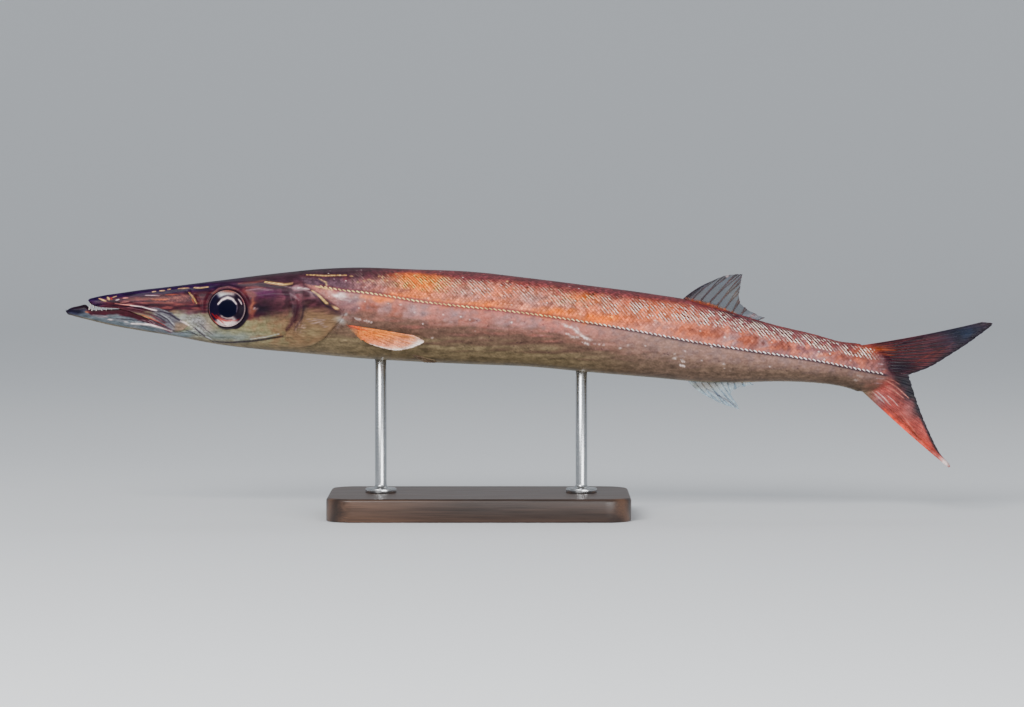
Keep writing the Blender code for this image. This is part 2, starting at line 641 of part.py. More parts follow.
def make_fins(collection):
    dark, warm, clear = (0.16, 0.12, 0.13), (0.62, 0.3, 0.2), (0.45, 0.5, 0.52)
    first = ray_sheet(
        "first_dorsal_fin", FIRST_DORSAL_ROOTS, FIRST_DORSAL_TIPS, 5, 7, over_back, 0.5 * MM, notch=0.0
    )
    new_object("first_dorsal_fin", first, collection, dark, 0.4)
    sheets = (
        ("second_dorsal_fin", SECOND_DORSAL_STATIONS, back_height, GAP, SECOND_DORSAL_TIPS, 0.08, dark),
        ("anal_fin", ANAL_STATIONS, belly_line, -GAP, ANAL_TIPS, -0.05, clear),
    )
    for name, (start, end), line, gap, tips, bow, colour in sheets:
        stations = np.linspace(start, end, 12)
        roots = np.column_stack([stations, line(stations) + gap])
        mesh = ray_sheet(name, roots, tips, 10, 8, on_midline, 0.9 * MM, bow=bow)
        new_object(name, mesh, collection, colour, 0.4)
    lobes = (
        ("tail_fin_upper", UPPER_LOBE_ROOTS, UPPER_LOBE_TIPS, 10, -0.012, dark),
        ("tail_fin_lower", LOWER_LOBE_ROOTS, LOWER_LOBE_TIPS, 9, -0.008, warm),
    )
    for name, roots, tips, rays, bow, colour in lobes:
        mesh = ray_sheet(name, roots, tips, rays, 12, on_midline, 0.9 * MM, bow=bow, body_core=True)
        new_object(name, mesh, collection, colour, 0.4)
    for word, side in SIDES.items():
        place = beside_flank(side, GAP + 1.0 * MM, 7 * MM, 0)
        mesh = ray_sheet("pectoral", PECTORAL_ROOTS, PECTORAL_TIPS, 12, 8, place, 0.8 * MM)
        new_object(f"pectoral_fin_{word}", mesh, collection, warm, 0.4)
        place = beside_flank(side, GAP + 0.6 * MM, 1.6 * MM, 1)
        mesh = ray_sheet("pelvic", PELVIC_ROOTS, PELVIC_TIPS, 6, 6, place, 0.6 * MM)
        new_object(f"pelvic_fin_{word}", mesh, collection, clear, 0.4)


def make_stand(collection, cutters):
    """The base plate, and for each rod the rod itself and the socket that it needs in the belly."""
    bpy.ops.mesh.primitive_cube_add(size=1)
    base = bpy.context.active_object
    for owner in list(base.users_collection):
        owner.objects.unlink(base)
    mesh = base.data
    mesh.transform(Matrix.Diagonal((BASE_LENGTH, BASE_WIDTH, BASE_THICKNESS, 1)))
    bpy.data.objects.remove(base)
    base = new_object("stand_base", mesh, collection, (0.05, 0.035, 0.03), 0.4)
    base.location = (BASE_STATION - TOTAL_LENGTH / 2, 0, BASE_THICKNESS / 2)
    upright = mesh.attributes.new("bevel_weight_edge", "FLOAT", "EDGE")
    for edge in mesh.edges:
        ends = [mesh.vertices[i].co for i in edge.vertices]
        upright.data[edge.index].value = float(abs(ends[0].z - ends[1].z) > BASE_THICKNESS / 2)
    corners = base.modifiers.new("corners", "BEVEL")
    corners.limit_method, corners.width, corners.segments = "WEIGHT", BASE_CORNER, 6
    rim = base.modifiers.new("rim", "BEVEL")
    rim.limit_method, rim.angle_limit, rim.width, rim.segments = "ANGLE", math.radians(60), 1.5 * MM, 2

    sockets = {}
    for word, station in ROD_STATIONS.items():
        belly = JAW_TIP_HEIGHT + belly_line(station)
        bottom, top = BASE_THICKNESS + GAP, belly + ROD_SOCKET_DEPTH - GAP
        profile = [
            (0, top), (ROD_RADIUS - 0.4 * MM, top), (ROD_RADIUS, top - 0.4 * MM),
            (ROD_RADIUS, bottom + FOOT_HEIGHT + 2 * MM), (ROD_RADIUS + 0.8 * MM, bottom + FOOT_HEIGHT),
            (FOOT_RADIUS - 0.5 * MM, bottom + FOOT_HEIGHT), (FOOT_RADIUS, bottom + FOOT_HEIGHT - 0.5 * MM),
            (FOOT_RADIUS, bottom), (0, bottom),
        ]
        rod = turned(f"stand_rod_{word}", profile, collection, (0.6, 0.6, 0.62), 0.3, 1.0)
        rod.location = (station - TOTAL_LENGTH / 2, 0, 0)
        hole = [(0, top + GAP), (ROD_RADIUS + GAP, top + GAP), (ROD_RADIUS + GAP, bottom), (0, bottom)]
        socket = turned(f"cut_rod_{word}", hole, cutters, (0.2, 0.2, 0.2), 0.5)
        socket.location = rod.location
        sockets[word] = socket
    return sockets


def main():
    for obj in list(bpy.data.objects):
        bpy.data.objects.remove(obj)
    fish = bpy.data.collections.new("barracuda")
    cutters = bpy.data.collections.new("cutters")
    for collection in (fish, cutters):
        bpy.context.scene.collection.children.link(collection)

    silver, flesh = (0.5, 0.45, 0.42), (0.48, 0.34, 0.3)
    recesses = []
    for word, side in SIDES.items():
        new_object(f"gill_cover_{word}", gill_cover_mesh("gill_cover", side), fish, silver, 0.3)
        mesh = gill_recess_mesh("gill_recess", side)
        recesses.append(new_object(f"cut_gill_{word}", mesh, cutters, (0.2, 0.2, 0.2), 0.5))

    sockets = make_eyes(fish, cutters)
    rods = make_stand(fish, cutters)

    head = new_object("head", head_mesh(), fish, flesh, 0.35)
    fuse(head, tooth_pieces(UPPER_TEETH, palate_line, half_width, -1, 0.0))
    cut(head, recesses + list(sockets.values()) + make_nostrils(cutters))

    jaw = new_object("lower_jaw", jaw_mesh(), fish, silver, 0.35)
    fuse(jaw, tooth_pieces(LOWER_TEETH, jaw_top, jaw_half_width, 1, -0.25 * MM))

    starts = (NECK, *TRUNK_CUTS)
    ends = (*TRUNK_CUTS, STALK_END)
    names = ("trunk_front", "trunk_middle", "trunk_rear", "tail_stalk")
    steps = (15, 9, 10, 9)
    trunk = {}
    for name, start, end, count in zip(names, starts, ends, steps):
        last = end if name == "tail_stalk" else end - GAP / 2
        trunk[name] = new_object(name, trunk_mesh(name, start + GAP, last, count, 16), fish, flesh, 0.35)
    cut(trunk["trunk_front"], [*recesses, rods["front"]])
    cut(trunk["trunk_middle"], [rods["rear"]])

    make_fins(fish)


main()
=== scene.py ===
"""The looks of the barracuda display model: skin, scales, eyes, teeth, fins, stand, light and camera.

Fish sizes are in millimetres, in the fish's own coordinates: the station s behind the tip of the lower jaw,
y to the fish's right, and the height h over the level of that tip. to_frame turns them into the frame's
metres. The forms repeat the named outlines of the frame's solids and add their detail.
"""

import math

import bmesh
import bpy
import numpy as np
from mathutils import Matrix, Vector


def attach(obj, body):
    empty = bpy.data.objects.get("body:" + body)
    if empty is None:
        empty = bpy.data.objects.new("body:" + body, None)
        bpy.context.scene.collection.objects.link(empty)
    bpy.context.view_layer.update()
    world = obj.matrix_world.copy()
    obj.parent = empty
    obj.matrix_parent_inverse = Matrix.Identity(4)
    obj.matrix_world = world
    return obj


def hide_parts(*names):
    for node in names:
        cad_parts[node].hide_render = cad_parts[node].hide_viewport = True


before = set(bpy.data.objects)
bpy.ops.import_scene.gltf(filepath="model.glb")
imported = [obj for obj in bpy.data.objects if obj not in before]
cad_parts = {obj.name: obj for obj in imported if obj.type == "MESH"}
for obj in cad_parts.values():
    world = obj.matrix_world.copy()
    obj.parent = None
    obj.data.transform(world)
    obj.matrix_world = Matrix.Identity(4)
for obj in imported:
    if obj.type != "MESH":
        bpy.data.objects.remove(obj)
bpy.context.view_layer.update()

TOTAL_LENGTH = 480.0
JAW_TIP_HEIGHT = 106.0
FRAME_ORIGIN = (-TOTAL_LENGTH / 2, 0.0, JAW_TIP_HEIGHT)
SIDES = {"left": -1, "right": 1}
rng = np.random.default_rng(7)

EYE_STATION, EYE_HEIGHT = 84.2, 1.9
EYE_RADIUS, EYE_BULGE, EYE_DEPTH, EYE_SINK = 9.85, 2.6, 5.6, 0.9
NECK = 134.0
SCALES_START, SCALES_END = 117.0, 427.0
SKIN_END = 428.0
CAMERA_DISTANCE, CAMERA_ELEVATION = 2.2, 2.5

# Outlines in side view: (station, height).
BACK = np.array([
    (11.6, 6.0), (12.4, 6.6), (13.8, 7.0), (17.6, 7.9), (28.5, 9.6), (54.4, 12.6), (79.8, 16.0),
    (102, 18.9), (126, 21.4), (152, 22.6), (178, 21.7), (210, 20.4), (239, 17.2), (271, 13.2),
    (304, 8.8), (328, 4.6), (348, -1.6), (368, -7.4), (388, -12.2), (400, -15.6), (412.3, -17.4),
    (421.7, -19.5), (428, -25),
])
BELLY = np.array([
    (0, -0.1), (0.9, -1.4), (2.6, -2.0), (7.3, -3.3), (13.8, -4.9), (22, -6.9), (38.3, -9.9),
    (54.4, -12.5), (79.8, -17.2), (102, -19.8), (126, -21.8), (152, -24.1), (178, -25.7),
    (210, -27.2), (239, -28.4), (271, -31.3), (304, -34.1), (328, -36.2), (348, -36.6), (368, -36.1),
    (388, -36.8), (398, -37.9), (405.6, -39.5), (412.3, -41.3), (421.7, -40.2), (428, -37),
])
# The line at which a section is widest, and its half width there.
WIDEST = np.array([
    (11.6, 5.8), (14.9, 3.1), (19.4, 2.2), (27.8, 1.6), (38.3, -1.4), (46.6, -5.0), (55.2, -8.0),
    (67, -8.0), (84, -5.5), (102, -3.0), (126, -2.0), (152, -2.0), (178, -2.8), (210, -3.8),
    (239, -5.8), (271, -9.0), (304, -12.6), (328, -15.8), (348, -19.0), (368, -22.0), (388, -25.0),
    (412.3, -29.5), (428, -31.0),
])
HALF_WIDTH = np.array([
    (11.6, 0.5), (12.4, 1.6), (13.8, 2.3), (17.6, 3.1), (22, 3.7), (27.8, 4.5), (38.3, 5.6),
    (54.4, 7.4), (67, 9.0), (84, 11.3), (102, 13.0), (120, 14.8), (138, 17.0), (160, 18.9),
    (195, 20.2), (225, 20.4), (256, 19.8), (288, 18.2), (318, 16.0), (348, 13.0), (368, 11.0),
    (388, 9.0), (400, 7.4), (412.3, 4.6), (421.7, 2.4), (428, 0.6),
])
PALATE = np.array([
    (11.6, 5.7), (12.7, 4.4), (14.9, 3.1), (17.0, 2.5), (19.4, 2.2), (27.8, 1.6), (38.3, -1.4),
    (46.6, -5.0), (55.2, -9.7), (64.2, -10.7), (71.5, -12.5), (76.1, -15.1), (78.0, -17.2),
])
JAW_TOP = np.array([
    (0, 0.2), (1.9, 1.5), (6.9, 2.9), (10.1, 3.6), (11.4, 2.7), (12.7, 1.2), (15.4, 0.7), (19.4, 0.9),
    (27.8, 1.2), (38.3, -1.75), (46.6, -5.35), (55.2, -10.05), (64.2, -11.05), (71.5, -12.85),
    (76.1, -15.45), (77.0, -16.1),
])
JAW_HALF_WIDTH = np.array([
    (0, 0.1), (0.9, 1.2), (2.6, 1.9), (7.3, 2.7), (11.6, 3.1), (19.4, 3.7), (27.8, 4.3), (38.3, 5.2),
    (46.6, 6.0), (55.2, 6.7), (64.2, 6.9), (71.5, 6.4), (76.1, 4.6), (77.0, 4.0),
])
JAW_LIP = np.array([(0, 0.15), (1.9, 1.3), (6.9, 2.7), (10.1, 3.2), (12.7, 1.4), (15.4, 0.9), (77.0, 0.5)])
LATERAL_LINE = np.array([
    (117, 15.7), (133.8, 13.1), (145.1, 11.3), (153.4, 10.5), (168.2, 8.4), (181.8, 6.1), (200.8, 3.8),
    (224.8, 1.4), (255.9, -2.7), (289.8, -8.3), (329.4, -15.8), (355.9, -20.0), (391.4, -25.6),
    (412.5, -30.1), (428, -33.1),
])


GILL_FORE = np.array([(121.0, 12.6), (122.0, 5.0), (121.4, -2.0), (119.4, -8.7), (114.0, -13.6), (105.0, -16.0)])
GILL_HIND = np.array([
    (124.0, 13.0), (130.5, 10.8), (138.8, 4.6), (144.8, -0.6), (142.3, -4.5), (138.0, -9.2),
    (133.4, -14.0), (126.5, -17.2), (115.0, -17.8), (106.5, -17.1),
])
MAXILLA = np.array([
    (16, 3.6), (33.2, 4.8), (47.1, 2.4), (55.4, -0.3), (59.6, -3.5), (64.2, -6.8), (61.0, -9.4),
    (55.4, -10.4), (46.6, -5.8), (38.3, -2.2), (27.8, 1.0), (19.4, 1.6),
])
# Where the head ends and the scales begin, from the throat up to the nape: (height, station).
HEAD_END = np.array([
    (-25, 112), (-17.2, 126.5), (-14, 133.4), (-9.2, 138), (-4.5, 142.3), (-0.6, 144.8), (4.6, 138.8),
    (10.8, 130.5), (14, 125), (22, 119),
])


def curve(rows):
    """A smooth curve through a table's rows, as a function of its first column, with no overshoot."""
    x, y = rows[:, 0], rows[:, 1]
    step = np.diff(x)
    slope = np.diff(y) / step
    inner = (slope[1:] * step[:-1] + slope[:-1] * step[1:]) / (step[1:] + step[:-1])
    steepest = 3 * np.minimum(np.abs(slope[1:]), np.abs(slope[:-1])) * (slope[1:] * slope[:-1] > 0)
    tangent = np.concatenate([slope[:1], np.clip(inner, -steepest, steepest), slope[-1:]])

    def at(s):
        s = np.clip(s, x[0], x[-1])
        i = np.clip(np.searchsorted(x, s, side="right") - 1, 0, len(step) - 1)
        t = (s - x[i]) / step[i]
        rise = y[i] * (1 + 2 * t) * (1 - t) ** 2 + y[i + 1] * (3 - 2 * t) * t**2
        return rise + step[i] * (tangent[i] * t * (1 - t) ** 2 - tangent[i + 1] * (1 - t) * t**2)

    return at


def along(points, share):
    """Points of a smooth path through the given points, at shares of its length."""
    points = np.asarray(points, float)
    lengths = np.linalg.norm(np.diff(points, axis=0), axis=1)
    marks = np.concatenate([[0], np.cumsum(lengths)]) / lengths.sum()
    columns = [curve(np.column_stack([marks, points[:, c]]))(share) for c in range(points.shape[1])]
    return np.stack(columns, axis=-1)


back_line, belly_line = curve(BACK), curve(BELLY)
widest_line, half_width = curve(WIDEST), curve(HALF_WIDTH)
palate_line, jaw_line, jaw_half_width, jaw_lip = map(curve, (PALATE, JAW_TOP, JAW_HALF_WIDTH, JAW_LIP))
lateral_line = curve(LATERAL_LINE)
square_over = curve(np.array([(0, 2.1), (30, 2.5), (90, 2.7), (150, 2.3), (250, 2.15), (430, 2.0)]))
square_under = curve(np.array([(0, 2.0), (80, 2.0), (150, 2.2), (250, 2.15), (430, 2.0)]))


def smooth_step(value):
    t = np.clip(value, 0, 1)
    return t * t * (3 - 2 * t)


def flank(s, h):
    """Half width of the body at a station and height, before any relief."""
    middle = widest_line(s)
    over = np.clip((h - middle) / (back_line(s) - middle), 0, 1)
    under = np.clip((middle - h) / (middle - belly_line(s)), 0, 1)
    upper = (1 - over ** square_over(s)) ** (1 / square_over(s))
    lower = (1 - under ** square_under(s)) ** (1 / square_under(s))
    return half_width(s) * np.where(h > middle, upper, lower)


def outward(s, h):
    """The flank's unit normal on the fish's right side, as (station, y, height)."""
    small = 0.5
    slope_s = (flank(s + small, h) - flank(s - small, h)) / (2 * small)
    slope_h = (flank(s, h + small) - flank(s, h - small)) / (2 * small)
    normal = np.stack([-slope_s, np.ones_like(slope_s), -slope_h], axis=-1)
    return normal / np.linalg.norm(normal, axis=-1, keepdims=True)


def path_distance(s, h, path):
    """Distance from each point to a path in side view, and how far along the path the nearest place is."""
    nearest, share = np.full(np.shape(s), np.inf), np.zeros(np.shape(s))
    legs = len(path) - 1
    for i, ((s0, h0), (s1, h1)) in enumerate(zip(path[:-1], path[1:])):
        length2 = (s1 - s0) ** 2 + (h1 - h0) ** 2
        t = np.clip(((s - s0) * (s1 - s0) + (h - h0) * (h1 - h0)) / length2, 0, 1)
        gap = np.hypot(s - s0 - t * (s1 - s0), h - h0 - t * (h1 - h0))
        share = np.where(gap < nearest, (i + t) / legs, share)
        nearest = np.minimum(nearest, gap)
    return nearest, share


def inside(s, h, outline):
    odd = np.zeros(np.shape(s), bool)
    for (s0, h0), (s1, h1) in zip(outline, np.roll(outline, -1, axis=0)):
        if h0 != h1:
            odd ^= ((h0 > h) != (h1 > h)) & (s < s0 + (h - h0) * (s1 - s0) / (h1 - h0))
    return odd


def head_end(h):
    return np.interp(h, HEAD_END[:, 0], HEAD_END[:, 1])


def wave_field(waves, shortest, longest, stretch):
    """A smooth random field over the side view, about -1 to 1, drawn out along the fish by stretch."""
    angle = rng.uniform(0, 2 * np.pi, waves)
    size = shortest * (longest / shortest) ** rng.uniform(0, 1, waves)
    start = rng.uniform(0, 2 * np.pi, waves)

    def at(s, h):
        total = np.zeros(np.shape(s))
        for a, wave, phase in zip(angle, size, start):
            total += np.sin(2 * np.pi * (np.cos(a) * s / stretch + np.sin(a) * h) / wave + phase)
        return total / math.sqrt(waves)

    return at


mottle = wave_field(28, 2.5, 14, 1.4)
streaks = wave_field(24, 0.9, 3.5, 7)
grain = wave_field(28, 0.5, 1.8, 1.3)
bands = wave_field(20, 1.6, 6, 9)


def to_frame(points):
    return (np.asarray(points, float) + FRAME_ORIGIN) * 0.001


# Colours, as they look on screen from 0 to 255, with painted glints over that. Marks are blended as they look, too.

VIVIDNESS, DIMNESS, GLINT = 1.2, 0.75, 1.14


def colour(red, green, blue):
    """A colour on screen, made a little more vivid; 1 is white."""
    value = np.array([red, green, blue]) / 255
    return np.clip(value.mean() + (value - value.mean()) * VIVIDNESS, 0, GLINT)


def light(tone):
    """The linear light for colours on screen, dimmed to leave room for painted glints."""
    tone = np.clip(tone, 0, GLINT)
    return DIMNESS * np.where(tone <= 0.04045, tone / 12.92, ((tone + 0.055) / 1.055) ** 2.4)


BACK_BROWN = colour(60, 38, 48)
BACK_RED = colour(112, 58, 64)
BACK_EDGE = colour(140, 66, 60)
SHOULDER = colour(104, 80, 90)
FLANK_PINK = colour(198, 128, 112)
FLANK_ORANGE = colour(226, 116, 70)
FLANK_HIND = colour(150, 102, 102)
FLANK_LOW = colour(186, 118, 108)
FLANK_REAR = colour(146, 116, 106)
MID_BROWN = colour(100, 78, 68)
BELLY_OLIVE = colour(120, 106, 84)
BELLY_PALE = colour(150, 138, 116)
BELLY_REAR = colour(106, 88, 76)
GOLD = colour(264, 128, 44)
RUST = colour(140, 68, 44)
LILAC = colour(164, 142, 146)
SNOUT_MAROON = colour(62, 24, 36)
SNOUT_TAN = colour(132, 80, 70)
SNOUT_TOP = colour(30, 8, 54)
CHEEK_GREEN = colour(136, 130, 100)
CHEEK_TAN = colour(120, 96, 74)
CHEEK_BLUE = colour(122, 134, 138)
JAW_SILVER = colour(100, 108, 114)
GREY_SILVER = colour(112, 110, 114)
JAW_MAROON = colour(62, 26, 36)
JAW_BLACK = colour(14, 10, 32)
MAXILLA_GREY = colour(88, 84, 92)
MAXILLA_TAN = colour(136, 116, 100)
TAN_RING = colour(168, 104, 78)
PURPLE = colour(84, 44, 76)
# A near-black for dark marks, and for painted shade: round the eye, in the head's grooves and beside the lateral line's
# beads.
DARK_MARK_AND_SHADE = colour(22, 12, 26)
OPERCLE_DARK = colour(56, 30, 38)
# WHITE_PINK, BRIGHT_GOLD and SILVER go over white: they paint glints and highlights, and some pale marks too.
WHITE_PINK = colour(288, 266, 260)
BRIGHT_GOLD = colour(286, 236, 150)
SILVER = colour(226, 230, 230)
ORANGE = colour(224, 114, 56)
RED = colour(214, 66, 44)
OPERCLE_MID = colour(122, 74, 80)
FIN_MAROON = colour(44, 20, 30)
FIN_SLATE = colour(24, 38, 56)
TAIL_DARK = colour(24, 24, 32)
FIN_ROSE = colour(146, 70, 66)
FIN_PINK = colour(254, 178, 156)
FIN_CLEAR = colour(176, 194, 202)


def blend(base, tone, share):
    return base + (tone - base) * np.asarray(share)[..., None]


def patched(tone, s, h, patches):
    """Adds soft patches: (station, height, reach along, reach up, colour, strength)."""
    for s0, h0, reach_s, reach_h, patch, strength in patches:
        fall = ((s - s0) / reach_s) ** 2 + ((h - h0) / reach_h) ** 2
        tone = blend(tone, patch, strength * np.exp(-fall))
    return tone


def stroked(tone, s, h, lines, broken=0.45):
    """Adds tapered lines, a little broken along their length: (colour, half width, strength, path)."""
    for line_colour, half, strength, path in lines:
        gap, share = path_distance(s, h, np.array(path, float))
        taper = 0.55 + 0.45 * np.sin(np.pi * np.clip(share, 0.02, 0.98))
        gaps = 1 - broken * smooth_step(0.5 + grain(s, h))
        tone = blend(tone, line_colour, strength * gaps * np.exp(-((gap / (half * taper)) ** 2)))
    return tone


def pale_flecked(tone, s, h, marks):
    """Adds broken pale marks: (station, height, reach along, reach up, colour, strength)."""
    flecks = smooth_step(1.2 * grain(s, h) + 0.1)
    for s0, h0, reach_s, reach_h, mark, strength in marks:
        fall = ((s - s0) / reach_s) ** 2 + ((h - h0) / reach_h) ** 2
        tone = blend(tone, mark, strength * flecks * smooth_step(1.5 - fall))
    return tone


# Patches on the trunk: (station, height, reach along, reach up, colour, strength). The white-pink and silver ones are
# painted highlights.
BODY_PATCHES = (
    (134, 18.5, 12, 4, BACK_BROWN, 0.5), (150, 6, 8, 3, LILAC, 0.6), (158.4, 2.4, 4, 2.6, RUST, 0.55),
    (166.7, 1.2, 4, 3, LILAC, 0.7), (171, 0.4, 4.4, 3.2, RUST, 0.5), (182, 0, 7, 3.6, LILAC, 0.75),
    (189.5, -2.2, 5, 2.6, FLANK_PINK, 0.4), (202, -2.6, 4.4, 3.2, LILAC, 0.75), (206.4, -4.6, 3.4, 2, RUST, 0.35),
    (212, -4.8, 4, 2.4, LILAC, 0.5), (218, -4.4, 3.6, 2.4, RUST, 0.35), (226, -5.6, 6, 3, LILAC, 0.5),
    (240, -7, 6, 2.6, LILAC, 0.4), (181, 16.6, 9, 4, GOLD, 0.9), (188, 13.4, 9, 4, GOLD, 0.8),
    (174, 7.6, 16, 1.6, GOLD, 0.75), (194, 5.2, 8, 1.6, GOLD, 0.6), (215.5, 3.2, 10, 2, GOLD, 0.8),
    (252, -0.8, 10, 2.2, GOLD, 0.85), (275, -4.0, 12, 2.4, GOLD, 0.9), (269, 7.0, 6, 2.6, GOLD, 0.7),
    (206, 9.5, 9, 4, LILAC, 0.4), (196, 9.6, 8, 4.4, FLANK_PINK, 0.6), (240.4, 6, 8, 4, LILAC, 0.45),
    (258, 4, 5, 3, LILAC, 0.3), (289, 2, 7, 4, FLANK_PINK, 0.5), (303, 1, 24, 5.5, FLANK_ORANGE, 0.65),
    (232, 12, 24, 4, FLANK_ORANGE, 0.25), (290.5, -4.8, 6, 2, RUST, 0.4), (306, -7, 5, 2.4, LILAC, 0.5),
    (321.4, -10.4, 5, 2.6, RUST, 0.45), (332, -12.2, 7, 2.8, RUST, 0.55), (342.8, -14.8, 4, 3, LILAC, 0.6),
    (352.9, -15.2, 5, 3, RUST, 0.7), (360.8, -16.4, 3.6, 3, LILAC, 0.65), (369, -17.4, 5, 2.6, RUST, 0.5),
    (390, -22.8, 5, 2, WHITE_PINK, 0.25), (398.7, -23.6, 6, 2.4, RUST, 0.4), (413, -25, 6, 3.6, RUST, 0.35),
    (147, 3, 9, 5, SHOULDER, 0.5), (154, -2, 8, 3, MID_BROWN, 0.35), (163, 6.5, 8, 1.6, GOLD, 0.4),
    (142.6, 8.0, 3.4, 1.5, WHITE_PINK, 0.95), (144.2, -4.4, 2.6, 2.4, SILVER, 0.7), (417, -20, 8, 2, ORANGE, 0.5),
    (434, -24, 13, 5, FIN_MAROON, 0.95), (432, -29, 8, 3.8, DARK_MARK_AND_SHADE, 0.9), (429, -40, 10, 5, FIN_ROSE, 0.8),
)
# Lines on the body: the fleshy ridge at the second dorsal fin and the bases of the tail's rays.
BODY_LINES = (
    (ORANGE, 0.7, 0.8, [(319, 7.4), (333, 3.6), (347, -0.8)]),
    (DARK_MARK_AND_SHADE, 0.5, 0.8, [(337, 0.8), (349, -3.0), (361, -6.6)]),
    (LILAC, 0.3, 0.9, [(421, -24), (424, -24.6)]), (LILAC, 0.3, 0.9, [(420.6, -27), (423.6, -27.4)]),
    (LILAC, 0.3, 0.9, [(420.4, -29.6), (424, -29.9)]), (LILAC, 0.3, 0.9, [(419.8, -34.6), (423.6, -34.8)]),
    (LILAC, 0.3, 0.8, [(418.6, -37), (422.6, -37.4)]),
)
# Pale strokes on the flank, broken along their length.
BODY_PALE_STROKES = (
    (WHITE_PINK, 0.6, 0.85, [(256.8, -6.4), (258.8, -7.6), (261, -8.5)]),
    (WHITE_PINK, 0.7, 0.85, [(261, -8.0), (264.7, -10.8), (268.4, -13.6)]),
    (WHITE_PINK, 0.5, 0.8, [(258.7, -11.3), (261.4, -13.1), (265.2, -13.6)]),
    (WHITE_PINK, 0.6, 0.8, [(266.5, -12.6), (269.8, -14.5), (271.8, -14.5)]),
    (WHITE_PINK, 0.5, 0.75, [(267, -15.9), (270.7, -17.3)]), (WHITE_PINK, 0.5, 0.7, [(264.2, -8.0), (265.2, -10.3)]),
    (WHITE_PINK, 0.6, 0.85, [(313.9, -24.4), (315.6, -24.1)]), (WHITE_PINK, 0.6, 0.8, [(317.9, -25.1), (319.7, -26)]),
    (WHITE_PINK, 0.6, 0.85, [(317.4, -27.7), (320.2, -28.6)]), (LILAC, 0.5, 0.8, [(317, -23), (319.7, -23.8)]),
    (WHITE_PINK, 0.5, 0.7, [(150.2, -3.4), (153.4, -4.6)]), (WHITE_PINK, 0.5, 0.6, [(155, -4.8), (159, -5.8)]),
    (WHITE_PINK, 0.4, 0.6, [(142.6, 6.2), (148.4, 5.2)]), (LILAC, 0.5, 0.6, [(414, -30.4), (419, -31.2)]),
    (WHITE_PINK, 0.4, 0.6, [(409.4, -33.2), (412.6, -33.8)]), (WHITE_PINK, 0.4, 0.6, [(407.6, -35.4), (410.2, -35.9)]),
)
# Single scales with a painted glint: (station, height).
GOLD_GLINTS = (
    (151.8, 15.0), (155, 15.5), (157.4, 16.2), (159.5, 15.6), (162.6, 18.0), (164.4, 17.4), (164.6, 16.0),
    (166.7, 15.8), (171.2, 19.2), (171, 14.4), (176, 17.0), (180.9, 18.6), (182.5, 18.6), (228.6, 15.4), (232, 11.8),
)
PINK_GLINTS = (
    (173.9, 3.2), (190, -13.8), (273.5, -16.8), (275.8, -17.0), (278.1, -17.3), (286.4, -19.1), (290.8, -17.6),
    (314.6, -22.1), (304.6, -4.8), (340, -27.2),
)
SCALE_GLINTS = tuple(
    (s0, h0, 0.5, 0.36, tint, 0.7) for tint, places in ((BRIGHT_GOLD, GOLD_GLINTS), (WHITE_PINK, PINK_GLINTS))
    for s0, h0 in places
)
# A mark on the near flank is seen lower than it is by this share of the flank's half width.
LOOK_DOWN = math.tan(math.radians(CAMERA_ELEVATION))


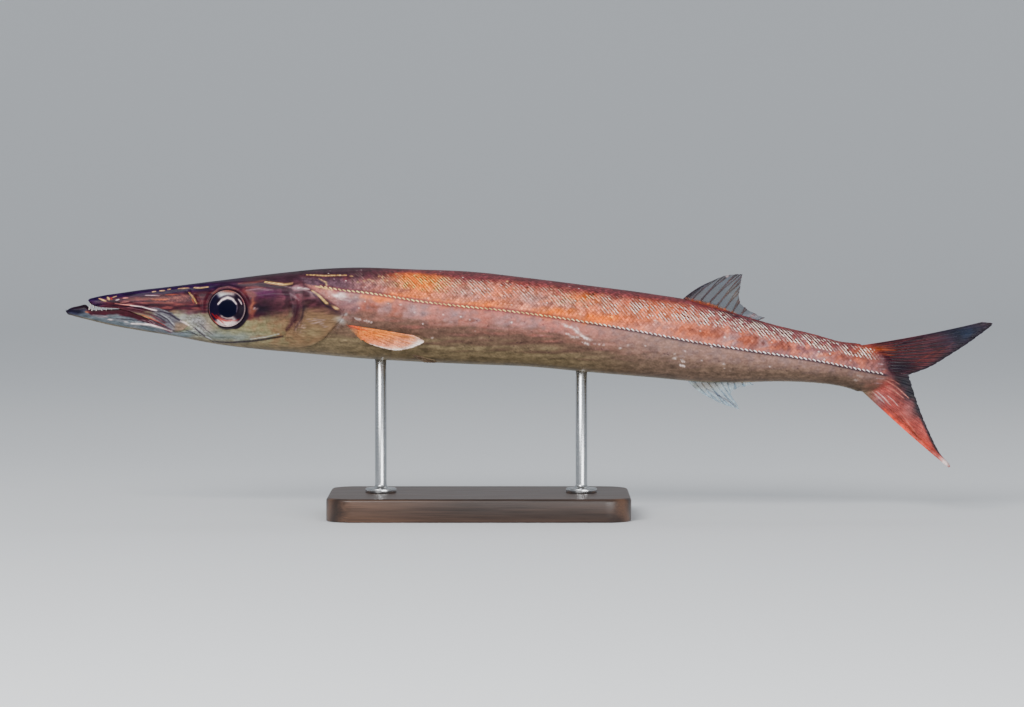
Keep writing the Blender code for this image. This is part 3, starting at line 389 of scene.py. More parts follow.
def body_paint(s, h):
    """Colours of the trunk: dark back, pink flank, brown lower flank that is partly painted shade, pale belly, and its
    patches.
    """
    line, back, belly = lateral_line(s), back_line(s), belly_line(s)
    over = np.clip((h - line) / (back - line), 0, 1)
    under = np.clip((line - h) / (line - belly), 0, 1)
    fore, rear = smooth_step((184 - s) / 46), smooth_step((s - 250) / 60)
    cloud, fine = mottle(s, h), grain(s, h)
    tone = blend(blend(FLANK_PINK, FLANK_HIND, smooth_step((s - 310) / 60)), SHOULDER, fore)
    tone = blend(tone, FLANK_ORANGE, 0.35 * smooth_step(0.4 + 0.6 * cloud) * (1 - fore))
    tone = blend(tone, BACK_RED, smooth_step((over - 0.58 + 0.2 * fore + 0.07 * cloud) / 0.34))
    tone = blend(tone, BACK_BROWN, smooth_step((over - 0.46) / 0.3) * fore)
    tone = blend(tone, BACK_EDGE, 0.6 * smooth_step((over - 0.93) / 0.07) * (1 - fore))
    lower = blend(FLANK_LOW, FLANK_REAR, rear)
    lower = blend(lower, LILAC, 0.3 * smooth_step(0.3 - cloud))
    # The lower flank browns and turns olive towards the belly: partly its colour, partly painted shade under the fish.
    wander = 0.07 * bands(s, h)
    browning_and_shade = smooth_step((under - 0.14 + wander) / (0.34 + 0.36 * rear))
    lower = blend(lower, blend(MID_BROWN, BELLY_REAR, rear), browning_and_shade)
    lower = blend(lower, blend(BELLY_OLIVE, BELLY_REAR, rear), smooth_step((under - 0.48 + wander) / 0.3))
    lower = blend(lower, BELLY_PALE, 0.7 * smooth_step((under - 0.94) / 0.06))
    lower = lower * (1 - 0.14 * smooth_step((s - 380) / 25))[..., None]
    tone = np.where((h > line)[..., None], tone, lower)
    seen = h - LOOK_DOWN * flank(s, h)
    tone = patched(tone, s + 2.2 * cloud, seen + 0.8 * mottle(s + 40, h), BODY_PATCHES)
    crest = 0.85 * smooth_step((over - 0.86) / 0.1) * smooth_step((380 - s) / 40)
    tone = blend(tone, blend(BACK_RED, BACK_BROWN, fore), crest)
    low = smooth_step((under - 0.1) / 0.3)
    shade = 1 + 0.06 * cloud + low * (0.06 * streaks(s, h) + 0.05 * bands(s, h)) + 0.07 * fine
    tone = patched(tone * np.clip(shade, 0.5, 1.5)[..., None], s, seen, SCALE_GLINTS)
    tone = stroked(tone, s, seen + 0.25 * fine, BODY_PALE_STROKES, 0.6)
    # Painted shade in the lateral line's groove: under its beads, and over them too towards the head.
    hind = smooth_step((s - 235) / 50)
    groove_shade = 0.8 * np.exp(-(((h - line + 0.55) / 0.55) ** 2))
    groove_shade = groove_shade + 0.7 * (1 - hind) * np.exp(-(((h - line - 0.7) / 0.55) ** 2))
    groove_shade = groove_shade * smooth_step((s - 130) / 4) * smooth_step((427 - s) / 3)
    tone = blend(tone, blend(BACK_RED, DARK_MARK_AND_SHADE, hind), np.clip(groove_shade, 0, 0.9))
    return stroked(tone, s, h, BODY_LINES, 0.7)



# Strokes on the head: (colour, half width, strength, path). The bright gold, white-pink and silver strokes, and the
# lilac-white ones along the gill cover's top and behind the eye, are painted highlights; the dark strokes beside the
# grooves of HEAD_FORMS are painted shade.
HEAD_LINES = (
    (SNOUT_TAN, 0.6, 0.7, [(32, 6.6), (46, 7.0), (60, 7.6)]), (SNOUT_TAN, 0.5, 0.6, [(40, 4.6), (52, 4.6), (62, 3.6)]),
    (SNOUT_TAN, 0.35, 0.7, [(30, 5.8), (38, 6.2), (44, 6.0)]),
    (WHITE_PINK, 0.22, 0.8, [(41.5, 8.5), (46, 8.4), (49, 8.2)]), (ORANGE, 0.3, 0.7, [(45, 6.2), (53, 6.4)]),
    (ORANGE, 0.3, 0.5, [(52, 8.8), (58, 9.0)]), (DARK_MARK_AND_SHADE, 0.45, 0.7, [(28, 8.0), (44, 9.6), (60, 11.0)]),
    (DARK_MARK_AND_SHADE, 0.3, 0.6, [(34, 7.6), (46, 8.0), (60, 8.4)]), (DARK_MARK_AND_SHADE, 0.3, 0.6, [(30, 5.2), (42, 5.6), (58, 5.6)]),
    (DARK_MARK_AND_SHADE, 0.3, 0.6, [(44, 3.8), (52, 3.6), (60, 2.2)]), (DARK_MARK_AND_SHADE, 0.3, 0.5, [(40, 7.0), (50, 7.6), (56, 7.4)]),
    (BRIGHT_GOLD, 0.26, 0.9, [(45, 10.3), (47, 10.5)]), (BRIGHT_GOLD, 0.28, 0.9, [(49, 10.8), (51.6, 11.0)]),
    (BRIGHT_GOLD, 0.3, 0.9, [(53, 11.5), (54.6, 11.7)]), (BRIGHT_GOLD, 0.28, 0.9, [(58.7, 12.0), (64.3, 12.3)]),
    (BRIGHT_GOLD, 0.36, 1.0, [(67, 12.5), (70, 12.3), (74.2, 12.9)]),
    (DARK_MARK_AND_SHADE, 0.4, 0.7, [(56, 11.2), (66, 11.6), (76, 12.0)]),
    (BRIGHT_GOLD, 0.36, 1.0, [(17.4, 6.8), (19.5, 6.0), (21.2, 5.4)]), (DARK_MARK_AND_SHADE, 0.35, 0.9, [(17, 6.0), (19.6, 5.2)]),
    (BRIGHT_GOLD, 0.6, 1.0, [(21.9, 7.4), (22.9, 6.2)]), (RED, 0.35, 0.9, [(23.6, 7.4), (24.2, 6.2)]),
    (BRIGHT_GOLD, 0.28, 0.9, [(24.3, 7.3), (26.6, 8.0)]), (DARK_MARK_AND_SHADE, 0.35, 0.8, [(24, 5.0), (26, 5.6), (27.6, 7.2)]),
    (WHITE_PINK, 0.36, 0.8, [(26.2, 5.9), (28.0, 6.4)]), (FIN_PINK, 0.36, 0.8, [(30, 7.0), (32.4, 7.2)]),
    (FIN_PINK, 0.3, 0.6, [(28.6, 4.8), (33, 5.2)]), (DARK_MARK_AND_SHADE, 0.3, 0.7, [(28.6, 6.0), (33, 6.2)]),
    (FIN_PINK, 0.3, 0.9, [(26, 4.3), (33.2, 3.5), (38, 2.9)]),
    (WHITE_PINK, 0.34, 1.0, [(34, 3.3), (40, 2.6), (44.5, 1.4), (47.6, 0.7)]),
    (LILAC, 0.24, 0.6, [(27, 2.5), (33, 2.2), (38.3, 1.2), (43, 0.0)]),
    (DARK_MARK_AND_SHADE, 0.4, 0.9, [(25, 3.1), (33, 2.7), (40, 1.9), (46, 0.2)]),
    (JAW_MAROON, 0.8, 0.95, [(21, 2.7), (30, 2.0), (38, 0.2), (45, -1.7), (52, -5.6)]),
    (RED, 0.3, 0.7, [(40, -1.6), (46, -3.9), (52, -7.0)]),
    (DARK_MARK_AND_SHADE, 0.4, 0.95, [(48, 0.6), (52, -0.3), (54.5, -1.0), (56.4, -2.2), (58, -3.6), (60.4, -4.8)]),
    (WHITE_PINK, 0.36, 0.95, [(60, -4.6), (62, -5.4), (64.4, -7.0)]),
    (DARK_MARK_AND_SHADE, 0.4, 0.9, [(66.8, -7.8), (70.4, -11.0), (75.5, -14.4)]),
    (SILVER, 0.36, 0.95, [(72.8, -12.6), (75.8, -14.2)]), (SILVER, 0.34, 0.8, [(68, -7.6), (73, -11.6)]),
    (DARK_MARK_AND_SHADE, 0.3, 0.7, [(62, -9), (66, -10.6), (69, -12.4)]), (DARK_MARK_AND_SHADE, 0.3, 0.6, [(70, -6), (73, -9), (77, -12)]),
    (WHITE_PINK, 0.5, 1.0, [(34.5, -6.1), (40, -6.4), (44.5, -6.7), (50, -8.3), (55.6, -10.0)]),
    (WHITE_PINK, 0.26, 0.9, [(22.4, -4.0), (24.4, -4.3)]), (WHITE_PINK, 0.24, 0.7, [(30.4, -5.2), (32.2, -5.4)]),
    (DARK_MARK_AND_SHADE, 0.3, 0.5, [(26, -3.4), (36, -4.4), (46, -6.0)]), (LILAC, 0.5, 0.8, [(14.3, -1.7), (18, -2.5), (22, -2.8)]),
    (JAW_MAROON, 0.5, 0.8, [(44, -3.6), (50, -6.4), (55, -9.4)]),
    (DARK_MARK_AND_SHADE, 0.35, 0.6, [(47, -0.6), (53, -3.6), (57, -8)]), (SILVER, 0.3, 0.7, [(50, -1.0), (54, -3.6), (57, -7)]),
    (DARK_MARK_AND_SHADE, 0.3, 0.5, [(43, -0.8), (49, -2.6), (54, -6.4)]), (DARK_MARK_AND_SHADE, 0.35, 0.8, [(61.5, 11.0), (64.6, 8.8), (66.6, 5.0)]),
    (BRIGHT_GOLD, 0.32, 1.0, [(64.1, 10.0), (66.0, 8.2), (67.2, 6.4), (68.4, 4.4)]),
    (ORANGE, 0.3, 0.7, [(65.6, 7.2), (67, 4.6)]),
    (BRIGHT_GOLD, 0.5, 1.0, [(103.6, 15.6), (108, 15.0), (113.5, 14.2), (118, 14.8)]),
    (DARK_MARK_AND_SHADE, 0.4, 0.8, [(98, 14.6), (106, 13.6), (114, 12.6)]), (SNOUT_TAN, 0.6, 0.7, [(90, 14.6), (98, 15.2), (104, 16.6)]),
    (FLANK_PINK, 0.35, 0.6, [(94, 12.7), (99, 12.9), (104, 12.4)]), (LILAC, 0.5, 0.7, [(94, 11.2), (100, 12.0), (108, 11.4)]),
    (DARK_MARK_AND_SHADE, 0.5, 0.9, [(76, -15.4), (86, -15.8), (97, -15.0), (106, -13.6), (113, -12.4)]),
    (SILVER, 0.3, 0.7, [(96, -14.0), (104, -12.9), (111, -11.2)]), (LILAC, 0.5, 0.6, [(98.6, 1.6), (100.6, 2.0)]),
    (BRIGHT_GOLD, 0.32, 0.9, [(128, 11.4), (132, 8.4), (135.8, 4.9), (142.6, 1.2)]),
    (DARK_MARK_AND_SHADE, 0.5, 0.7, [(128, 10.2), (132, 7.0), (136, 3.4), (142, -0.4)]),
    (SNOUT_TAN, 0.6, 0.8, [(76.6, 9.4), (80, 12.2), (85, 12.9), (90, 11.6)]),
    (DARK_MARK_AND_SHADE, 0.3, 0.8, [(75.4, 8.6), (79, 12.8), (85, 14.0), (92, 12.4)]),
    (OPERCLE_DARK, 1.4, 0.8, [(120, 3), (119, -4), (115, -9)]), (DARK_MARK_AND_SHADE, 0.6, 0.5, [(124, 3), (123, -3), (119, -9)]),
    (LILAC, 0.5, 0.8, [(114, 13.4), (120, 12.2), (125, 11.4), (128.6, 10.0)]),
    (WHITE_PINK, 0.3, 0.8, [(120.6, 12.7), (127, 11.9)]), (LILAC, 0.5, 0.6, [(116.6, 9.8), (119, 8.2), (121.4, 6.4)]),
    (LILAC, 0.4, 0.6, [(129, -2.4), (132, -4.6), (135, -7.4)]), (LILAC, 0.35, 0.5, [(126, -3.4), (129, -6)]),
)
# Bright gold painted highlights over the nape and the gill cover's top, with a dark line beside one.
NAPE_LINES = (
    (BRIGHT_GOLD, 0.36, 0.95, [(125, 19.2), (134.6, 18.8), (145.3, 19.0)]),
    (BRIGHT_GOLD, 0.36, 0.6, [(147.4, 18.7), (149, 18.5)]),
    (BRIGHT_GOLD, 0.34, 0.75, [(131.6, 17.3), (135.2, 15.5), (135.8, 13.7), (134, 12.5)]),
    (DARK_MARK_AND_SHADE, 0.4, 0.7, [(130, 16.6), (134, 14.6), (134.6, 13.2), (132, 12)]),
    (BRIGHT_GOLD, 0.4, 0.95, [(130, 13.4), (133, 12.7), (136, 12.1), (139, 11.6)]),
)
# Patches on the head: (station, height, reach along, reach up, colour, strength). The silver ones are painted
# highlights.
HEAD_PATCHES = (
    (102, 1.6, 6.6, 3.4, DARK_MARK_AND_SHADE, 1.0), (110, 1.0, 6, 4, OPERCLE_DARK, 0.7), (104, 9.6, 10, 2.6, PURPLE, 0.8),
    (88, 14.6, 14, 2, BACK_BROWN, 0.7), (120, -1, 2.6, 6.4, OPERCLE_DARK, 0.8), (133, 5.4, 9, 4, OPERCLE_DARK, 0.75),
    (139, 4.4, 3.4, 3.4, DARK_MARK_AND_SHADE, 0.6), (121, 1.4, 4, 3, DARK_MARK_AND_SHADE, 0.5), (128.6, 9.4, 3.4, 2.2, LILAC, 0.45),
    (131, 14, 5, 2, BACK_BROWN, 0.5), (143.0, -4.2, 2.6, 2.6, SILVER, 0.6), (16, 5.2, 4.6, 3.4, SNOUT_TOP, 0.7),
    (50, 6.6, 11, 2.2, SNOUT_TAN, 0.5), (60, 6, 5, 3, SNOUT_TAN, 0.3), (36, 5.6, 6, 1.6, PURPLE, 0.3),
    (60.5, -2.4, 3.6, 2.0, SILVER, 0.55), (66, -5.4, 3, 2.2, SILVER, 0.35), (62, -2.6, 4.4, 2.4, GREY_SILVER, 0.5), (69, -4, 5, 3.2, GREY_SILVER, 0.8), (70, -8, 4, 3, GREY_SILVER, 0.7),
    (64, -11, 7, 1.8, CHEEK_BLUE, 0.8), (88, -13.0, 11, 2.6, CHEEK_BLUE, 0.7), (77, -12, 6, 3, CHEEK_BLUE, 0.7),
    (3, 0.4, 8, 2.2, JAW_BLACK, 0.95), (10, 2.4, 5, 1.4, DARK_MARK_AND_SHADE, 0.8), (12.0, 0.0, 1.2, 0.5, ORANGE, 0.6),
    (74, -7, 4, 4, LILAC, 0.4), (128, -10, 6, 3, CHEEK_GREEN, 0.5), (118, -12, 5, 2.4, CHEEK_TAN, 0.4),
    (73, 5, 3, 4, SNOUT_MAROON, 0.7), (108, -4.6, 6, 3, CHEEK_TAN, 0.4), (97.4, 3, 1.6, 6, TAN_RING, 0.75),
    (95, 10, 3, 2, TAN_RING, 0.5), (118.5, 9.4, 2.4, 3, LILAC, 0.25), (128, -6, 7, 4, CHEEK_TAN, 0.4),
    (121, 12.6, 3, 1.4, LILAC, 0.45), (86, 9, 6, 3, SNOUT_MAROON, 0.3), (104, 14, 10, 1.4, BACK_BROWN, 0.5),
)
# Broken pale marks on the head; the lilac one behind the eye and the silver ones on the cheek and jaw are painted
# highlights.
HEAD_FLECKS_AND_GLINTS = (
    (132, -4.6, 4, 1.6, LILAC, 0.4), (122, -8, 3, 3, LILAC, 0.3),
    (137.6, 8.8, 2, 2, LILAC, 0.6), (98.8, 1.8, 1.2, 0.6, LILAC, 0.8), (68, -5, 5, 3.6, SILVER, 0.3),
    (70, -10, 4, 3, SILVER, 0.3), (54, 7, 12, 2, FIN_PINK, 0.2), (44, -5.4, 12, 1.4, SILVER, 0.4),
)


def maxilla_paint(s, h):
    """The grey plate over the upper jaw's hind end, streaked along its length, with a tan tip."""
    streak = smooth_step(0.5 + 0.7 * streaks(s + 2 * h, 1.4 * h + 0.7 * s))
    tone = blend(blend(MAXILLA_GREY, GREY_SILVER, streak), LILAC, 0.25 * smooth_step((50 - s) / 8))
    return blend(tone, MAXILLA_TAN, smooth_step((s - 55) / 4) * smooth_step((-4 - h) / 3))


def head_paint(s, h):
    """Colours of the head: dark top, maroon snout, silver jaw and green-grey cheek."""
    back, belly = back_line(np.maximum(s, 11.6)), belly_line(s)
    over = (h - belly) / (back - belly)
    cloud, fine, drawn = mottle(s, h), grain(s, h), streaks(s, h)
    cheek = blend(CHEEK_GREEN, CHEEK_TAN, smooth_step((s - 92) / 30 + 0.3 * cloud))
    cheek = blend(cheek, BELLY_OLIVE, smooth_step((0.2 - over) / 0.2))
    upper = blend(SNOUT_MAROON, OPERCLE_DARK, smooth_step((s - 95) / 20))
    upper = blend(upper, OPERCLE_MID, 0.7 * smooth_step((s - 106) / 10) * smooth_step(0.4 + 0.9 * cloud))
    border = np.interp(
        s, (30, 58, 76, 92, 104, 112, 118, 125, 134, 140, 144), (-1, -0.6, -1, -5, -1.5, 0, 0, 1.6, 1.2, -0.8, -2.6)
    )
    soft = 3.4 + 3 * smooth_step((s - 100) / 10)
    tone = blend(cheek, upper, smooth_step((h - border + 0.35 * soft + 0.5 * cloud + 0.9 * bands(s, h)) / soft))
    snout = smooth_step((90 - s) / 14) * smooth_step((h - border) / 2)
    tone = blend(tone, SNOUT_TAN, 0.55 * snout * smooth_step(0.9 * drawn))
    tone = blend(tone, DARK_MARK_AND_SHADE, 0.5 * snout * smooth_step(-0.9 * drawn - 0.2))
    tone = blend(tone, SNOUT_TOP, 0.85 * smooth_step((over - 0.83) / 0.08) * (1 - smooth_step((s - 84) / 20)))
    tone = blend(tone, BACK_BROWN, smooth_step((over - 0.82) / 0.1) * smooth_step((s - 84) / 20))
    low_jaw = np.clip(jaw_line(s) - h, 0, 9)
    band = np.interp(s, (0, 8, 20, 32, 44, 55, 56), (1.4, 2.0, 2.6, 3.0, 2.4, 0.6, 0))
    jaw = blend(JAW_SILVER, GREY_SILVER, 0.7 * smooth_step(0.3 + 0.8 * drawn) * smooth_step((s - 12) / 12))
    jaw = blend(jaw, JAW_MAROON, smooth_step((band - low_jaw + 0.6 + 0.3 * cloud) / 1.1))
    jaw = blend(jaw, BELLY_OLIVE, 0.8 * smooth_step((belly + 1.3 - h) / 0.9))
    tone = blend(tone, jaw, (h < jaw_line(s) + 0.15) * smooth_step((70 - s) / 10))
    tone = patched(tone, s + 0.8 * cloud, h + 0.4 * mottle(s + 40, h), HEAD_PATCHES)
    tone = pale_flecked(tone, s, h, HEAD_FLECKS_AND_GLINTS)
    plate = (s > 40) & (s < 66) & inside(s, h, MAXILLA)
    tone[plate] = blend(tone[plate], maxilla_paint(s[plate], h[plate]), smooth_step((s[plate] - 42) / 7))
    tone = stroked(tone, s, h, HEAD_LINES, 0.3)
    # A painted shadow round the eye where it sits in its socket, widest below and behind it.
    turn = np.arctan2(h - EYE_HEIGHT, s - EYE_STATION)
    reach = np.hypot(s - EYE_STATION, h - EYE_HEIGHT)
    shadow = 1.9 * wedge(turn, -55, 62) * (0.5 + 0.5 * wedge(turn, -40, 30))
    tone = blend(tone, DARK_MARK_AND_SHADE, 0.95 * smooth_step((EYE_RADIUS + 0.4 + shadow - reach) / 0.7))
    return tone * np.clip(1 + 0.06 * cloud + 0.05 * drawn + 0.07 * fine, 0.5, 1.5)[..., None]


def wedge(turn, middle, half):
    """1 within an angle on each side of a direction, fading at its edges; all but turn in degrees."""
    away = np.abs((np.degrees(turn) - middle + 180) % 360 - 180)
    return smooth_step((half - away) / 20 + 0.5)


def paint(s, h):
    """Colour of the skin and scales anywhere on the fish."""
    share = smooth_step((s - head_end(h) + 1.5) / 3)
    tone = np.zeros(np.shape(s) + (3,))
    head, body = share < 1, share > 0
    tone[head] = head_paint(s[head], h[head]) * (1 - share[head])[:, None]
    tone[body] += body_paint(np.maximum(s[body], 117), h[body]) * share[body][:, None]
    return stroked(tone, s, h, NAPE_LINES, 0.5)


PUPIL, PUPIL_CENTRE = 4.9, (0.6, 0.2)
PUPIL_NAVY = colour(4, 4, 26)
IRIS_NAVY = colour(12, 8, 30)
IRIS_RED = colour(158, 34, 30)
IRIS_SILVER = colour(156, 138, 136)
# The eye's markings, by the distance behind and over its centre.
EYE_PATCHES = (
    (-2, 6.8, 4.6, 1.7, SILVER, 0.9), (0, -7.4, 6, 2.2, WHITE_PINK, 0.65), (2, 9.2, 6, 1.2, SNOUT_TAN, 0.95),
    (7.6, 3.4, 1.2, 1.6, IRIS_RED, 0.6),
)
# Lines on the iris; the short white-pink one on the dark hind sector is a painted glint.
EYE_LINES = (
    (WHITE_PINK, 0.62, 1.0, [(-4.6, 2.2), (-2.6, 4.4), (0.3, 5.7), (3.0, 4.8), (4.9, 2.4)]),
    (WHITE_PINK, 0.4, 0.8, [(6.0, 4.8), (7.0, 3.6), (7.6, 2.2)]),
    (LILAC, 0.3, 0.6, [(5.0, 2.6), (5.4, 0.6), (5.0, -1.8)]),
    (IRIS_RED, 0.5, 0.9, [(-7.8, -2.7), (-5.8, -4.6), (-3.0, -6.6), (-1.0, -8.4)]),
    (IRIS_RED, 0.45, 0.9, [(-5.6, -3.4), (-3.4, -5.2), (-0.6, -6.4), (2.2, -6.4)]),
    (DARK_MARK_AND_SHADE, 0.4, 0.8, [(-5.0, -5.6), (-3.0, -7.6), (-0.6, -8.8)]),
    (RED, 0.35, 0.7, [(-9.6, -0.6), (-9.0, -3.6), (-7.2, -6.2), (-4.4, -8.4)]),
    (JAW_MAROON, 0.45, 0.9, [(-4.6, -2.6), (-3.0, -4.6), (-0.2, -5.6), (3.0, -5.4)]),
    (IRIS_RED, 0.3, 0.6, [(1.6, -5.8), (4.4, -6.4), (6.6, -5.4)]),
    (WHITE_PINK, 0.4, 0.9, [(-4.8, -5.8), (-2.6, -7.8), (0.4, -8.6)]),
)


def eye_paint(e, f):
    """Colours of an eye: silver iris, dark to the front and to the rear, round a navy pupil."""
    turn, radius = np.arctan2(f, e), np.hypot(e, f)
    reach = np.hypot(e - PUPIL_CENTRE[0], f - PUPIL_CENTRE[1])
    tone = patched(np.broadcast_to(IRIS_SILVER, e.shape + (3,)), e, f, EYE_PATCHES)
    tone = blend(tone, IRIS_NAVY, 0.95 * wedge(turn, 176, 52) * smooth_step((9.6 - radius) / 0.7))
    tone = blend(tone, DARK_MARK_AND_SHADE, 0.97 * wedge(turn, 6, 56) * smooth_step((9.4 - radius) / 0.8))
    tone = blend(tone, DARK_MARK_AND_SHADE, 0.75 * wedge(turn, 90, 60) * smooth_step((1.2 - np.abs(reach - 6.2)) / 0.9))
    tone = tone * (1 + 0.12 * np.sin(turn * 46 + 2 * np.sin(reach * 3)))[..., None]
    tone = blend(tone, PUPIL_NAVY, smooth_step((PUPIL - reach + 0.2) / 0.4))
    tone = stroked(tone, e, f, EYE_LINES, 0.2)
    return blend(tone, DARK_MARK_AND_SHADE, smooth_step((radius - 9.3) / 0.4))


# Building pieces.


def mesh_piece(name, points, faces, material, tones=None):
    """A piece from fish coordinates, with its colours on screen and their opacity, and its body."""
    mesh = bpy.data.meshes.new(name)
    mesh.from_pydata(to_frame(points).tolist(), [], faces)
    obj = bpy.data.objects.new(name, mesh)
    bpy.context.scene.collection.objects.link(obj)
    mesh.materials.append(material)
    if tones is not None:
        store(mesh, "tone", np.column_stack([light(tones[:, :3]), tones[:, 3:]]))
    mesh.shade_smooth()
    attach(obj, "root")
    return obj


def store(mesh, name, values):
    """Stores three or four numbers for each point of a mesh, as an attribute for its material."""
    padded = np.ones((len(values), 4), np.float32)
    padded[:, :values.shape[1]] = values
    mesh.attributes.new(name, "FLOAT_COLOR", "POINT").data.foreach_set("color", padded.ravel())


def fish_points(mesh):
    """A mesh's points, back in fish coordinates."""
    co = np.empty(len(mesh.vertices) * 3)
    mesh.vertices.foreach_get("co", co)
    return co.reshape(-1, 3) * 1000 - FRAME_ORIGIN


def grid_faces(rows, columns, start=0, wrap=False, flip=False):
    """Quads of a grid of points, row by row."""
    r, c = np.meshgrid(np.arange(rows - 1), np.arange(columns if wrap else columns - 1), indexing="ij")
    right = (c + 1) % columns
    quads = np.stack([r * columns + c, r * columns + right, (r + 1) * columns + right, (r + 1) * columns + c], -1)
    quads = quads.reshape(-1, 4) + start
    return quads[:, ::-1] if flip else quads


def closed_loft(rings):
    """Points and faces of a loft through rings, shape (rings, points, 3), capped at both ends."""
    rows, columns = rings.shape[:2]
    faces = grid_faces(rows, columns, wrap=True).tolist()
    faces.append(list(range(columns))[::-1])
    faces.append([(rows - 1) * columns + i for i in range(columns)])
    return rings.reshape(-1, 3), faces


def sheet_faces(rows, columns):
    """Faces of a closed sheet made of two grids of points, near then far."""
    near = grid_faces(rows, columns)
    far = grid_faces(rows, columns, start=rows * columns, flip=True)
    rim = list(range(columns)) + [r * columns + columns - 1 for r in range(1, rows)]
    rim += [(rows - 1) * columns + c for c in reversed(range(columns - 1))]
    rim += [r * columns for r in reversed(range(1, rows - 1))]
    size = rows * columns
    edge = [[b, a, a + size, b + size] for a, b in zip(rim, rim[1:] + rim[:1])]
    return near.tolist() + far.tolist() + edge


def lathe(profile, steps):
    """Points and faces of a solid turned about Z from (radius, height) rows, both ends on the axis."""
    angles = np.linspace(0, 2 * np.pi, steps, endpoint=False)
    rows = np.array(profile[1:-1], float)
    points = np.stack([
        rows[:, :1] * np.cos(angles), rows[:, :1] * np.sin(angles), np.repeat(rows[:, 1:], steps, axis=1)
    ], -1).reshape(-1, 3)
    count = len(points)
    points = np.vstack([points, [(0, 0, profile[0][1]), (0, 0, profile[-1][1])]])
    faces = grid_faces(len(rows), steps, wrap=True).tolist()
    for i in range(steps):
        j = (i + 1) % steps
        faces.append([count, j, i])
        faces.append([count + 1, count - steps + i, count - steps + j])
    return points, faces


# Materials.


def new_material(name):
    material = bpy.data.materials.new(name)
    material.use_nodes = True
    tree = material.node_tree
    return material, tree, tree.nodes["Principled BSDF"]


def add(tree, kind, **values):
    """A new node; a value is set on the socket of that name, or else on the node."""
    node = tree.nodes.new(kind)
    for key, value in values.items():
        socket = key.replace("_", " ")
        if socket in node.inputs:
            node.inputs[socket].default_value = value
        else:
            setattr(node, key, value)
    return node


def varied_tone(tree, scale, low, high, detail=4.0, drawn=1.0):
    """The stored colour, made lighter and darker by noise that is drawn out along the fish."""
    link = tree.links.new
    tone = add(tree, "ShaderNodeAttribute", attribute_name="tone")
    place = add(tree, "ShaderNodeTexCoord")
    stretch = add(tree, "ShaderNodeMapping", Scale=(1 / drawn, 1, 1))
    noise = add(tree, "ShaderNodeTexNoise", Scale=scale, Detail=detail, Roughness=0.6)
    spread = add(tree, "ShaderNodeMapRange", From_Min=0.3, From_Max=0.7, To_Min=low, To_Max=high)
    mixed = add(tree, "ShaderNodeVectorMath", operation="SCALE")
    link(place.outputs["Object"], stretch.inputs["Vector"])
    link(stretch.outputs["Vector"], noise.inputs["Vector"])
    link(noise.outputs["Fac"], spread.inputs["Value"])
    link(tone.outputs["Color"], mixed.inputs[0])
    link(spread.outputs["Result"], mixed.inputs["Scale"])
    return tone, place, noise, mixed.outputs[0]


def skin_material():
    """Wet skin: stored markings, with painted highlights and shade among them, streaked along the fish, with fine pores
    and soft creases.
    """
    material, tree, shader = new_material("wet_skin")
    link = tree.links.new
    _, place, noise, tone = varied_tone(tree, 900, 0.72, 1.28, 3.0, 4.0)
    link(tone, shader.inputs["Base Color"])
    rough = add(tree, "ShaderNodeMapRange", From_Min=0.3, From_Max=0.7, To_Min=0.32, To_Max=0.5)
    link(noise.outputs["Fac"], rough.inputs["Value"])
    link(rough.outputs["Result"], shader.inputs["Roughness"])
    grain = add(tree, "ShaderNodeTexNoise", Scale=1600, Detail=3.0)
    stretch = add(tree, "ShaderNodeMapping", Scale=(0.35, 1, 1))
    bump = add(tree, "ShaderNodeBump", Strength=0.12, Distance=0.0003)
    link(place.outputs["Object"], stretch.inputs["Vector"])
    link(stretch.outputs["Vector"], grain.inputs["Vector"])
    link(grain.outputs["Fac"], bump.inputs["Height"])
    link(bump.outputs["Normal"], shader.inputs["Normal"])
    shader.inputs["Specular IOR Level"].default_value = 0.08
    shader.inputs["Coat Weight"].default_value = 0.03
    shader.inputs["Coat Roughness"].default_value = 0.1
    return material


def mixed_colour(tree, share, first, second):
    """A mix of two colours, each a socket or a constant, by a socket from 0 to 1."""
    node = add(tree, "ShaderNodeMix", data_type="RGBA")
    tree.links.new(share, node.inputs[0])
    for colour_in, socket in ((first, node.inputs[6]), (second, node.inputs[7])):
        if isinstance(colour_in, bpy.types.NodeSocket):
            tree.links.new(colour_in, socket)
        else:
            socket.default_value = (*colour_in, 1)
    return node.outputs[2]


